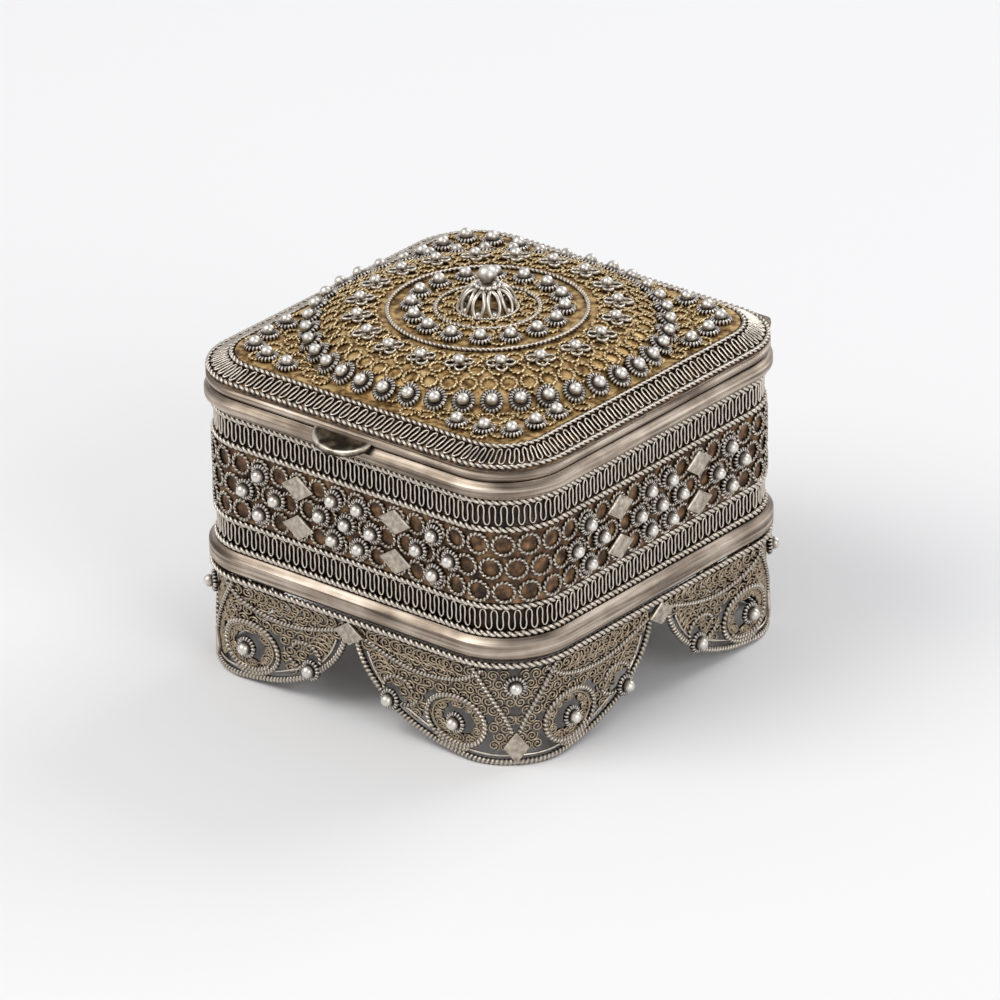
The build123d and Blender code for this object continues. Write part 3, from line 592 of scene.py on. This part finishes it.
for label in ("lower", "upper"):
    low, high = (corner[2] for corner in node_box(f"{label}_serpentine_band"))
    along, rise = serpentine(girth(WALL_INSET), (high - low) / 2 - SERPENTINE_MARGIN)
    path, normal = around(along, (low + high) / 2 + rise, SERPENTINE_LIFT, WALL_INSET)
    wire(f"{label}_serpentine_wire", path, normal, SERPENTINE_WIRE, flat_wire, "silver", "box",
         (f"{label}_serpentine_band",), sides=6, flatten=HALF_FLAT)

# Rings on the wall in three staggered rows
wall_middle = (panel_low[2] + panel_high[2]) / 2
ring_count = 2 * round(girth(PANEL_INSET) / RING_PITCH / 2)
ring_step = girth(PANEL_INSET) / ring_count
ring_s = np.concatenate([(np.arange(ring_count) + 0.5 * (row % 2)) * ring_step for row in (-1, 0, 1)])
ring_z = np.repeat(wall_middle + RING_ROW * np.array([-1, 0, 1]), ring_count)
path, normal = side_ring(ring_s, ring_z, RING_RADIUS, RING_LIFT, RING_STEPS, PANEL_INSET)
wire("wall_rings", path, normal, RING_WIRE, twisted, "silver", "box", sides=5)


def rosettes(prefix, ring, body, cups_node, granules_node):
    """Coiled cups, dark seats in them and granules, where ring(radius, lift, steps) gives their circles."""
    path, normal = ring(CUP_MAJOR, CUP_LIFT, CUP_STEPS)
    wire(f"{prefix}_coiled_cups", path, normal, CUP_MINOR, coiled, "silver", body, (cups_node,), sides=6)
    path, normal = ring(SEAT_RADIUS, SEAT_LIFT, SEAT_STEPS)
    wire(f"{prefix}_cup_seats", path, normal, SEAT_WIRE, deep_oxide, "silver_dark", body, sides=5)
    centre, normal = ring(0.0, GRANULE_LIFT, 1)
    beads(f"{prefix}_round_granules", centre[:, 0], normal[:, 0], GRANULE_RADIUS, granule_silver,
          "silver_bright", body, (granules_node,))


def side_rosettes(prefix, at, height, inset, cups_node, granules_node):
    """Rosettes on the sides of the box, at distances round it and heights."""
    def ring(radius, lift, steps):
        return side_ring(at, height, radius, lift, steps, inset)

    rosettes(prefix, ring, "box", cups_node, granules_node)


# Places of the wall rosettes, as distance round the panel and height
seven = [(-SEVEN_PITCH, 0), (0, 0), (SEVEN_PITCH, 0)]
seven += [(side * SEVEN_PITCH / 2, row * CLUSTER_ROW) for side in (-1, 1) for row in (-1, 1)]
four = [(FOUR_REACH, 0), (-FOUR_REACH, 0), (0, CLUSTER_ROW), (0, -CLUSTER_ROW)]
face_spots = np.array(seven + [(side * FOUR_OFFSET + x, z) for side in (-1, 1) for x, z in four])
side_middles = SIDE_SHARES * girth(PANEL_INSET)
rosette_s = (side_middles[:, None] + face_spots[:, 0]).ravel()
rosette_z = np.tile(wall_middle + face_spots[:, 1], len(side_middles))
side_rosettes("wall", rosette_s, rosette_z, PANEL_INSET, "wall_rosette_cups", "wall_granules")


def plates(name, at, height, lozenge, inset, node):
    """Bevelled lozenges on the sides of the box: centre plus half sizes times (cos turn, sin turn)."""
    half_width, half_height, low, high = lozenge
    turn = TAU * np.arange(4) / 4
    shrink = 1 - PLATE_BEVEL_ACROSS / half_height
    rings = []
    for share, out in ((1.0, low), (1.0, high - PLATE_BEVEL_OUT), (shrink, high)):
        rings.append(around(at[:, None] + share * half_width * np.cos(turn),
                            height[:, None] + share * half_height * np.sin(turn), out, inset)[0])
    points = np.stack(rings, 1)
    start = (np.arange(len(at)) * 4 * len(rings))[:, None, None]
    row, nxt = np.arange(4), (np.arange(4) + 1) % 4
    sides = np.concatenate([np.stack([k + row, k + nxt, k + 4 + nxt, k + 4 + row], -1) for k in (0, 4)])
    caps = np.array([[8, 9, 10, 11], [3, 2, 1, 0]])
    quads = (start + np.concatenate([sides, caps])).reshape(-1, 4)
    # Dark foot, bright bevel and mid face: wear and oxide, with painted highlight and painted shade.
    wear_and_painted_light = np.tile(np.repeat(PLATE_WEAR_AND_LIGHT, 4), len(at))
    piece = write_mesh(name, points.reshape(-1, 3), [quads], plate_silver, "box", wear_and_painted_light,
                       hides=(node,))
    piece.data.polygons.foreach_set("use_smooth", np.zeros(len(quads), bool))


lozenge_s = (side_middles[:, None] + LOZENGE_OFFSET * np.array([-1, -1, 1, 1])).ravel()
lozenge_z = np.tile(wall_middle + CLUSTER_ROW * np.array([-1, 1, -1, 1]), len(side_middles))
plates("wall_lozenge_plates", lozenge_s, lozenge_z, WALL_LOZENGE, PANEL_INSET, "wall_lozenges")

skirt_knots = wrap_knots(SKIRT_INSET)
SKIRT_ROUND = CORNER_RADIUS - SKIRT_INSET
corner_at = skirt_knots[[1, 3, 5, 7]] + SKIRT_ROUND * np.pi / 4
valley_at = SIDE_SHARES * girth(SKIRT_INSET)
for label, at, lozenge in (("foot", corner_at, FOOT_LOZENGE), ("valley", valley_at, VALLEY_LOZENGE)):
    low, high = (corner[2] for corner in node_box(f"{label}_lozenges"))
    height = np.full(4, (low + high) / 2)
    plates(f"{label}_lozenge_plates", at, height, lozenge, SKIRT_INSET, f"{label}_lozenges")


# Skirt lobes: border rope, scrolls, crossing wires, spirals and rosettes

ARC_HALF = SKIRT_ROUND * np.pi / 4
ARC_ACROSS = SKIRT_ROUND * np.sqrt(0.5)


def unroll(across):
    """Distance round the skirt from a corner, for a distance across it seen square to the corner."""
    size = np.abs(across)
    bent = SKIRT_ROUND * np.arcsin(np.clip(size / SKIRT_ROUND, 0, np.sqrt(0.5)))
    return np.sign(across) * np.where(size < ARC_ACROSS, bent, ARC_HALF + (size - ARC_ACROSS) * np.sqrt(2))


def on_skirt(across, height, out):
    """Points and normals on all four lobes, for arrays of places seen square to the corner."""
    spots = corner_at.reshape(-1, *([1] * across.ndim)) + unroll(across)[None]
    return around(spots, np.broadcast_to(height, spots.shape), out, SKIRT_INSET)


def smooth_line(corners, samples):
    """Curve through corners: cubic weights on the four nearest corners, whole array at once."""
    corners = np.asarray(corners, float)
    last = len(corners) - 1
    at = np.linspace(0, last, samples)
    first = np.minimum(at.astype(int), last - 1)
    part = (at - first)[:, None]
    a, b, c, d = (corners[np.clip(first + k, 0, last)] for k in (-1, 0, 1, 2))
    return b + part / 2 * (c - a + part * (2 * a - 5 * b + 4 * c - d + part * (3 * (b - c) + d - a)))


def arc_line(centre, radius, start, sweep, samples, shrink=0.0):
    """Arc or spiral in the plane of a lobe, whose radius falls evenly by the share called shrink."""
    share = np.linspace(0, 1, samples)
    turn = np.radians(start + sweep * share)
    reach = radius * (1 - shrink * share)
    return np.stack([centre[0] + reach * np.cos(turn), centre[1] + reach * np.sin(turn)], -1)


def skirt_wires(name, lines, radius, out, material=twisted, hides=(), **shape):
    """Open wires on all four lobes along lines of (across, height), mirrored about the corner."""
    lines = np.stack([line for base in lines for line in (base, base * [-1, 1])])
    path, normal = on_skirt(lines[..., 0], lines[..., 1], out)
    steps = lines.shape[1]
    path, normal = path.reshape(-1, steps, 3), normal.reshape(-1, steps, 3)
    return wire(name, path, normal, radius, material, "silver", "box", hides, closed=False, **shape)


def fine_curls(name, lines, radius, out):
    """Flattened curls of thin dark wire on the lobes."""
    skirt_wires(name, lines, radius, out, fine_curl, sides=5, flatten=HALF_FLAT)


# Edge of a lobe: a heavy rope, and a thin wire inside it that rises less above the shoulder
SHOULDER_HEIGHT = 5
INNER_SHARE, INNER_RISE, SHOULDER_DRAW = 0.95, 0.95, 0.05
edge_line = smooth_line(LOBE_EDGE, 90)
skirt_wires("lobe_border_ropes", [edge_line], radius=0.45, out=-0.1,
            hides=("skirt_lobe_front_right", "skirt_lobe_back_right", "skirt_lobe_back_left",
                   "skirt_lobe_front_left"))
inner_route = [(x * INNER_SHARE, z + INNER_RISE - SHOULDER_DRAW * x * (z > SHOULDER_HEIGHT))
               for x, z in LOBE_EDGE[:-1]]
inner_line = smooth_line(inner_route, 80)
skirt_wires("lobe_inner_wires", [inner_line], radius=0.2, out=-0.2, material=flat_wire, sides=5)

# Scrolls, and the ropes that cross the lobe and run to the valleys
scroll_line = arc_line(SCROLL_CENTRE, radius=3.9, start=250, sweep=430, samples=60, shrink=0.16)
skirt_wires("scroll_ropes", [scroll_line], radius=0.4, out=-0.05)
inner_scroll = arc_line(SCROLL_CENTRE, radius=3.2, start=60, sweep=400, samples=44, shrink=0.05)
skirt_wires("scroll_inner_wires", [inner_scroll], radius=0.2, out=-0.1, material=fine_curl, sides=5)
skirt_wires("crossing_ropes", [smooth_line(CROSSING_ROUTE, 34)], radius=0.38, out=0.0)
skirt_wires("valley_ropes", [smooth_line(VALLEY_ROUTE, 44)], radius=0.34, out=-0.05)
edge_scroll = arc_line((14.6, 7.0), radius=2.3, start=200, sweep=330, samples=34, shrink=0.3)
skirt_wires("edge_scroll_ropes", [edge_scroll], radius=0.3, out=-0.05)

# Rosettes of the skirt, square to a corner
spots_across = np.array([0.0] + [side * x for side in (-1, 1) for x in (SCROLL_CENTRE[0], EDGE_ROSETTE[0])])
spots_height = np.array([CORNER_ROSETTE_HEIGHT] + [SCROLL_CENTRE[1], EDGE_ROSETTE[1]] * 2)

# Curls of fine wire that fill a lobe between its ropes, in staggered rows, each turned on from the last
CURL_PITCH, CURL_ROW = 1.5, 1.3
CURL_FIRST = (0.7, 1.5)
CURL_COLUMNS, CURL_ROWS = 14, 11
CURL_TOP = 14.4
CURL_TURN_ON = 137.5
ROSETTE_CLEARANCE, EDGE_CLEARANCE, SCROLL_CLEARANCE = 1.8, 1.05, 0.45
SCROLL_MIDLINE = 3.6
LOBE_END = (HALF_Y - SKIRT_INSET - SKIRT_SHEET) / np.sqrt(2)
columns, rows = np.meshgrid(np.arange(CURL_COLUMNS), np.arange(CURL_ROWS))
curl_x = (CURL_FIRST[0] + CURL_PITCH * (columns + 0.5 * (rows % 2))).ravel()
curl_z = (CURL_FIRST[1] + CURL_ROW * rows).ravel()
rosette_gap = np.hypot(curl_x[:, None] - np.abs(spots_across), curl_z[:, None] - spots_height).min(1)
above_edge = curl_z - np.interp(curl_x, *np.array(LOBE_EDGE).T)
scroll_gap = np.abs(np.hypot(curl_x - SCROLL_CENTRE[0], curl_z - SCROLL_CENTRE[1]) - SCROLL_MIDLINE)
free = (rosette_gap > ROSETTE_CLEARANCE) & (above_edge > EDGE_CLEARANCE) & (scroll_gap > SCROLL_CLEARANCE)
free &= (curl_z < CURL_TOP) & (curl_x < LOBE_END)
curl_lines = [arc_line((curl_x[n], curl_z[n]), radius=0.84, start=CURL_TURN_ON * n,
                       sweep=640 if n % 2 == 0 else -640, samples=28, shrink=0.84)
              for n in np.flatnonzero(free)]
fine_curls("lobe_curls", curl_lines, radius=0.3, out=-0.35)

# Fish-scale arcs in a sagging row under the top rope
SCALE_MIDDLE, SCALE_HEIGHT, SCALE_SAG = 12, 13.0, 0.015
SCALE_FIRST, SCALE_LAST, SCALE_PITCH = 7.2, 18.6, 0.95
SCALE_STEPS = 14
scale_x = np.arange(SCALE_FIRST, SCALE_LAST, SCALE_PITCH)
scale_z = SCALE_HEIGHT + SCALE_SAG * (scale_x - SCALE_MIDDLE) ** 2
scale_lines = [arc_line(spot, radius=0.95, start=250, sweep=220, samples=SCALE_STEPS)
               for spot in zip(scale_x, scale_z)]

# Fish-scale arcs that climb beside the edge rosettes and grow smaller
CLIMB_COUNT, CLIMB_ACROSS, CLIMB_HEIGHT = 5, 0.4, 7.4
CLIMB_STEP_ACROSS, CLIMB_STEP_UP = 0.35, 0.85
CLIMB_RADIUS, CLIMB_SHRINK = 1.5, 0.15
for n in range(CLIMB_COUNT):
    spot = (EDGE_ROSETTE[0] + CLIMB_ACROSS + CLIMB_STEP_ACROSS * n, CLIMB_HEIGHT + CLIMB_STEP_UP * n)
    radius = CLIMB_RADIUS - CLIMB_SHRINK * n
    scale_lines.append(arc_line(spot, radius, start=10, sweep=170, samples=SCALE_STEPS))
fine_curls("lobe_scales", scale_lines, radius=0.3, out=-0.2)

# Curls on the inside of each scroll
SCROLL_CURLS, SCROLL_CURL_REACH = 9, 2.45
small_curl = arc_line(SCROLL_CENTRE, radius=0.6, start=0, sweep=560, samples=18, shrink=0.8)
scroll_lines = [small_curl + offset for offset in ring_points(SCROLL_CURL_REACH, SCROLL_CURLS, 0.0)]
fine_curls("scroll_curls", scroll_lines, radius=0.28, out=-0.3)

skirt_s = (corner_at[:, None] + unroll(spots_across)).ravel()
skirt_z = np.tile(spots_height, len(corner_at))
side_rosettes("skirt", skirt_s, skirt_z, SKIRT_INSET, "skirt_rosette_cups", "skirt_granules")


# Lid border: two ropes, the serpentine band and the backing

BORDER_ROPE, BORDER_ROPE_LIFT = 0.72, 0.36
OUTER_ROPE_MARGIN, INNER_ROPE_MARGIN = 0.5, 0.35
OUTER_ROPE_INSET = LID_INSET + OUTER_ROPE_MARGIN
INNER_ROPE_INSET = LID_INSET + BORDER_WIDTH - INNER_ROPE_MARGIN
BEND_MARGIN, BEND_SLANT = 0.45, 0.25
BORDER_BACKING = (0.1, 4.3)


def border_point(distance, inset, lift):
    """Point and normal on the lid border at a distance round the outline and an inset from it."""
    flat, _ = around(distance, 0.0, LID_INSET - inset, LID_INSET)
    return on_lid(flat[..., 0], flat[..., 1], lift)


for label, inset in (("outer", OUTER_ROPE_INSET), ("inner", INNER_ROPE_INSET)):
    path, normal = border_point(round_trip(LID_INSET, ROPE_STEPS), inset, BORDER_ROPE_LIFT)
    rope(f"lid_{label}_rope_wire", path, normal, BORDER_ROPE, hides=(f"lid_{label}_rope",), body="lid")

along, rise = serpentine(girth(LID_INSET), (INNER_ROPE_INSET - OUTER_ROPE_INSET) / 2 - BEND_MARGIN)
path, normal = border_point(along + BEND_SLANT * rise, (OUTER_ROPE_INSET + INNER_ROPE_INSET) / 2 + rise,
                            SERPENTINE_LIFT)
wire("lid_serpentine_wire", path, normal, SERPENTINE_WIRE, flat_wire, "silver", "lid",
     ("lid_serpentine_band",), sides=6, flatten=HALF_FLAT)

backing_at = round_trip(LID_INSET, BACKING_STEPS)
backing_out, backing_in = (LID_INSET + inset for inset in BORDER_BACKING)
backing_top = BACKING_LIFT + BACKING_SHEET
closed_strip("lid_border_backing",
             [border_point(backing_at, inset, lift)[0] for inset, lift in
              ((backing_out, BACKING_LIFT), (backing_out, backing_top), (backing_in, backing_top),
               (backing_in, BACKING_LIFT))],
             wall_patina, "lid")


# Lid ground: rope circles, rosettes and clovers

CIRCLE_ROPE, CIRCLE_LIFT, CIRCLE_TWIST = 0.68, 0.32, 1.4
# Samples of a circle for each millimetre of its radius
CIRCLE_STEPS = 60
for label, radius in zip(("inner", "outer"), CIRCLE_RADII):
    steps = CIRCLE_STEPS * round(radius)
    path, normal = lid_ring(np.zeros((1, 2)), radius, GROUND_SHEET + CIRCLE_LIFT, steps)
    rope(f"{label}_circle_rope", path[0], normal[0], CIRCLE_ROPE, hides=(f"lid_{label}_circle",), body="lid",
         twist=CIRCLE_TWIST)

corner_points = np.concatenate([CORNER_ROSETTES * [x, y] for x in (-1, 1) for y in (-1, 1)])
lid_rosettes = np.concatenate([ring_points(*INNER_RING), ring_points(*OUTER_RING), corner_points])


def lid_rosette_ring(radius, lift, steps):
    """Circles about the rosettes of the lid, over its ground sheet."""
    return lid_ring(lid_rosettes, radius, GROUND_SHEET + lift, steps)


rosettes("lid", lid_rosette_ring, "lid", "lid_rosette_cups", "lid_granules")

# Clovers: four loops about a granule
LEAF_REACH, LEAF_RADIUS, LEAF_LIFT, LEAF_WIRE, LEAF_FLAT = 1.2, 0.72, 0.42, 0.38, 0.4
CLOVER_GRANULE, CLOVER_GRANULE_LIFT = 0.78, 0.95
clovers = ring_points(*CLOVER_RING)
leaf_places = (clovers[:, None] + ring_points(LEAF_REACH, 4)).reshape(-1, 2)
path, normal = lid_ring(leaf_places, LEAF_RADIUS, GROUND_SHEET + LEAF_LIFT, RING_STEPS)
wire("clover_wire_loops", path, normal, LEAF_WIRE, flat_wire, "silver", "lid", ("clover_loops",), sides=6,
     flatten=LEAF_FLAT)
centre, normal = on_lid(clovers[:, 0], clovers[:, 1], GROUND_SHEET + CLOVER_GRANULE_LIFT)
beads("clover_round_granules", centre, normal, CLOVER_GRANULE, granule_silver, "silver_bright", "lid",
      ("clover_granules",))

# Wire rings that fill the gilt ground, in rows about the middle, where nothing else stands
FILL_FIRST, FILL_LAST, FILL_ROW, FILL_PITCH, FILL_STAGGER = 5.55, 34.0, 2.62, 2.66, 0.25
FILL_RADIUS, FILL_LIFT, FILL_WIRE = 1.08, 0.18, 0.25
FILL_TO_ROSETTE, FILL_TO_CIRCLE, FILL_TO_BORDER = 1.35, 0.9, 1.0
fill = np.concatenate([ring_points(radius, round(TAU * radius / FILL_PITCH), FILL_STAGGER * (number % 2))
                       for number, radius in enumerate(np.arange(FILL_FIRST, FILL_LAST, FILL_ROW))])
over_rosette = np.linalg.norm(fill[:, None] - lid_rosettes[None], axis=-1).min(1) < FILL_TO_ROSETTE
on_circle = np.abs(np.hypot(*fill.T)[:, None] - CIRCLE_RADII).min(1) < FILL_TO_CIRCLE
in_border = plan_inset(*fill.T) < LID_INSET + BORDER_WIDTH + FILL_TO_BORDER
fill = fill[~(over_rosette | on_circle | in_border)]
path, normal = lid_ring(fill, FILL_RADIUS, GROUND_SHEET + FILL_LIFT, RING_STEPS)
wire("lid_rings", path, normal, FILL_WIRE, gilt_ring, "gilt", "lid", sides=5)


# Finial: cage of paired wire loops, crown of small granules, cap and a large bead

CAGE_LOOPS, CAGE_STEPS, CAGE_WIRE = 10, 22, 0.3
CAGE_SWING, CAGE_LIFT, CAGE_NORMAL_RISE = 0.23, 0.1, 2.5
SPREAD_POWER, FALL_POWER = 0.8, 0.9
CROWN_RADIUS = 1.9
FINIAL_ROPE_STEPS, FINIAL_ROPE_TWIST = 160, 0.9
FOOT_ROPE, COLLAR_ROPE, COLLAR_LIFT = 0.6, 0.5, 0.05
FOOT_BEAD_RING, CROWN_BEAD_RING = (3.4, 10, 0.0), (1.6, 12)
FOOT_BEAD, FOOT_BEAD_LIFT = 0.55, 0.55
CROWN_BEAD, CROWN_BEAD_LIFT = 0.42, 0.45
CAP_RADIUS, CAP_SQUASH, CAP_LIFT = 1.75, 0.48, 0.05
TOP_BEAD = 1.32
cage_z, crown_z = cage_low[2], cage_high[2]
cage_radius = cage_high[0]

# Profile of a loop from the crown to the foot: it goes out with the sine and down with one less the cosine
share = np.linspace(0, 1, CAGE_STEPS)
quarter = share * np.pi / 2
cage_spread = cage_radius - CAGE_WIRE - CROWN_RADIUS
profile_r = CROWN_RADIUS - CAGE_WIRE + cage_spread * np.sin(quarter) ** SPREAD_POWER
profile_z = crown_z - (crown_z - cage_z) * (1 - np.cos(quarter)) ** FALL_POWER + CAGE_LIFT
cage_paths = []
for shift in (-1, 1):
    swing = shift * CAGE_SWING * np.sin(share * np.pi) ** 0.5
    angle = TAU * np.arange(CAGE_LOOPS)[:, None] / CAGE_LOOPS + swing
    cage_paths.append(np.stack([profile_r * np.cos(angle), profile_r * np.sin(angle),
                                np.broadcast_to(profile_z, angle.shape)], -1))
cage_path = np.concatenate(cage_paths)
cage_normal = unit(cage_path * [1, 1, 0] + CAGE_NORMAL_RISE * UP)
wire("finial_cage_loops", cage_path, cage_normal, CAGE_WIRE, flat_wire, "silver", "lid", ("finial_cage",),
     closed=False, sides=6)


def finial_rope(name, radius, height, width):
    """Level rope circle about the finial: radius times (cos turn, sin turn) at a height."""
    turn = TAU * np.arange(FINIAL_ROPE_STEPS) / FINIAL_ROPE_STEPS
    path = np.stack([radius * np.cos(turn), radius * np.sin(turn), np.full(len(turn), height)], -1)
    rope(name, path, np.broadcast_to(UP, path.shape), width, body="lid", twist=FINIAL_ROPE_TWIST)


def finial_beads(name, plan, height, radius, material, slot, hides=(), **shape):
    """Upright beads of the finial at points of the plan."""
    centre = np.column_stack([plan, np.full(len(plan), height)])
    beads(name, centre, np.broadcast_to(UP, centre.shape), radius, material, slot, "lid", hides, **shape)


finial_rope("finial_foot_rope", cage_radius - FOOT_ROPE / 2, cage_z + FOOT_ROPE / 2, FOOT_ROPE)
finial_rope("finial_collar_rope", CROWN_RADIUS - COLLAR_ROPE / 2, crown_z + COLLAR_LIFT, COLLAR_ROPE)
finial_beads("finial_foot_granules", ring_points(*FOOT_BEAD_RING), cage_z + FOOT_BEAD_LIFT, FOOT_BEAD,
             granule_silver, "silver_bright")
finial_beads("finial_crown_granules", ring_points(*CROWN_BEAD_RING), crown_z + CROWN_BEAD_LIFT, CROWN_BEAD,
             granule_silver, "silver_bright", ("finial_crown",))
finial_beads("finial_cap", np.zeros((1, 2)), crown_z + CAP_LIFT, CAP_RADIUS, wirework, "silver",
             squash=CAP_SQUASH, rings=10, sides=24)
finial_beads("finial_top_bead", np.zeros((1, 2)), bead_high[2] - TOP_BEAD, TOP_BEAD, granule_silver,
             "silver_bright", ("finial_bead",), rings=14, sides=24)


# Thumb tab: half-round plate that slopes down, dark on top and bright round its edge, the edge from rubbed
# wear and a painted highlight, with painted shade on its underside

# Half rings of the plate as (share of its size, depth under its top): underside, edge, lip and sunk face.
# A point is the share times (half width cos turn, reach sin turn), lowered by the depth and the slope.
TAB_RINGS = ((1.0, 0.72), (1.0, 0.14), (0.965, 0.0), (0.84, 0.07))
# Brightness of the underside, edge, lip and sunk face: the bright edge and lip are rubbed wear with a painted
# highlight, the dark underside partly oxide, partly painted shade.
TAB_WEAR_AND_LIGHT = (0.2, 0.8, 1.0, 0.3)
TAB_STEPS = 37
TAB_SLOPE = 0.404
TAB_MARGIN, TAB_UNDER_RIM = 0.12, 0.25
tab_half = (tab_high[0] - tab_low[0]) / 2
tab_back = -HALF_Y + LID_INSET + TAB_UNDER_RIM
tab_reach, tab_top = tab_back - tab_low[1] - TAB_MARGIN, tab_high[2] - TAB_MARGIN
half_turn = np.pi * np.linspace(0, 1, TAB_STEPS)
tab_rings = []
for share, sink in TAB_RINGS:
    forward = share * tab_reach * np.sin(half_turn)
    tab_rings.append(np.stack([share * tab_half * np.cos(half_turn), tab_back - forward,
                               tab_top - sink - TAB_SLOPE * forward], -1))
tab_middles = [[0, tab_back, tab_top - TAB_RINGS[-1][1]], [0, tab_back, tab_top - TAB_RINGS[0][1]]]
tab_points = np.concatenate([*tab_rings, tab_middles])
right_ends = TAB_STEPS * np.arange(len(TAB_RINGS))
left_ends = right_ends + TAB_STEPS - 1
top_middle, low_middle = len(tab_points) - 2, len(tab_points) - 1
span = np.arange(TAB_STEPS - 1)
lower = (right_ends[:-1, None] + span).ravel()
upper = lower + TAB_STEPS
strips = np.stack([upper, upper + 1, lower + 1, lower], -1)
top_span = right_ends[-1] + span
fans = np.concatenate([np.stack([top_span + 1, top_span, np.full(len(span), top_middle)], -1),
                       np.stack([span, span + 1, np.full(len(span), low_middle)], -1)])
back_edge = np.array([[low_middle, top_middle, *right_ends[::-1]], [low_middle, *left_ends, top_middle]])
tab_wear_and_light = np.concatenate([np.repeat(TAB_WEAR_AND_LIGHT, TAB_STEPS), [TAB_WEAR_AND_LIGHT[-1], TAB_WEAR_AND_LIGHT[0]]])
write_mesh("thumb_tab_plate", tab_points, [strips, fans, back_edge], tab_silver, "lid", tab_wear_and_light,
           hides=("thumb_tab",))


# Stage: pale floor, soft light and the camera at the photograph's angle

FLOOR_SIZE, FLOOR_GREY, FLOOR_ROUGHNESS = 6.0, 0.90, 0.9
LAMP_TARGET = (0, 0, 0.025)
WORLD_COLOUR, WORLD_STRENGTH = (0.95, 0.96, 1.0), 0.5


def stage_plane():
    """Plain pale floor under the box."""
    bpy.ops.mesh.primitive_plane_add(size=FLOOR_SIZE, location=(0, 0, 0))
    floor = bpy.context.object
    floor.name = "pale_floor"
    material, _, _, shader = node_tree("pale_floor")
    shader.inputs["Base Color"].default_value = (FLOOR_GREY, FLOOR_GREY, FLOOR_GREY, 1)
    shader.inputs["Roughness"].default_value = FLOOR_ROUGHNESS
    floor.data.materials.append(material)


def soft_lamp(name, place, size, watts, colour=(1, 1, 1)):
    """Area lamp aimed at the middle of the box."""
    data = bpy.data.lights.new(name, "AREA")
    data.energy, data.size, data.color = watts, size, colour
    lamp = bpy.data.objects.new(name, data)
    bpy.context.scene.collection.objects.link(lamp)
    lamp.location = place
    lamp.rotation_euler = (Vector(place) - Vector(LAMP_TARGET)).to_track_quat("Z", "Y").to_euler()


stage_plane()
soft_lamp("key_lamp", place=(-0.45, -0.70, 0.95), size=0.80, watts=7.0, colour=(1.0, 0.985, 0.96))
soft_lamp("side_lamp", place=(0.95, -0.25, 0.50), size=0.60, watts=3.5)
soft_lamp("back_lamp", place=(0.15, 0.95, 0.75), size=0.70, watts=4.5)

world = bpy.data.worlds.new("soft_studio")
world.use_nodes = True
background = world.node_tree.nodes["Background"]
background.inputs["Color"].default_value = (*WORLD_COLOUR, 1)
background.inputs["Strength"].default_value = WORLD_STRENGTH
bpy.context.scene.world = world
bpy.context.scene.view_settings.view_transform = "Standard"

# Camera: long lens, turned and tilted as in the photograph
AZIMUTH, ELEVATION, ROLL = np.radians([39.797, 25.687, -1.055])
PIXELS_PER_MM, PICTURE_PIXELS, DISTANCE = 7.329, 1000, 1200.0
SHIFT_RIGHT, SHIFT_UP, AIM_HEIGHT = 1.165, -0.687, 22.0
SENSOR_WIDTH, CLIP_END = 36, 20
level_reach = np.cos(ELEVATION)
back = np.array([np.sin(AZIMUTH) * level_reach, -np.cos(AZIMUTH) * level_reach, np.sin(ELEVATION)])
level_right = np.array([np.cos(AZIMUTH), np.sin(AZIMUTH), 0])
level_up = np.cross(back, level_right)
right = level_right * np.cos(ROLL) + level_up * np.sin(ROLL)
up = level_up * np.cos(ROLL) - level_right * np.sin(ROLL)
place = AIM_HEIGHT * UP + SHIFT_RIGHT * right + SHIFT_UP * up + back * DISTANCE
camera_data = bpy.data.cameras.new("photo_camera")
camera_data.sensor_width = SENSOR_WIDTH
camera_data.lens = SENSOR_WIDTH * PIXELS_PER_MM * DISTANCE / PICTURE_PIXELS
camera_data.clip_end = CLIP_END
camera = bpy.data.objects.new("photo_camera", camera_data)
turned = np.eye(4)
turned[:3] = np.column_stack([right, up, back, place * MM])
camera.matrix_world = Matrix(turned.tolist())
bpy.context.scene.collection.objects.link(camera)
bpy.context.scene.camera = camera
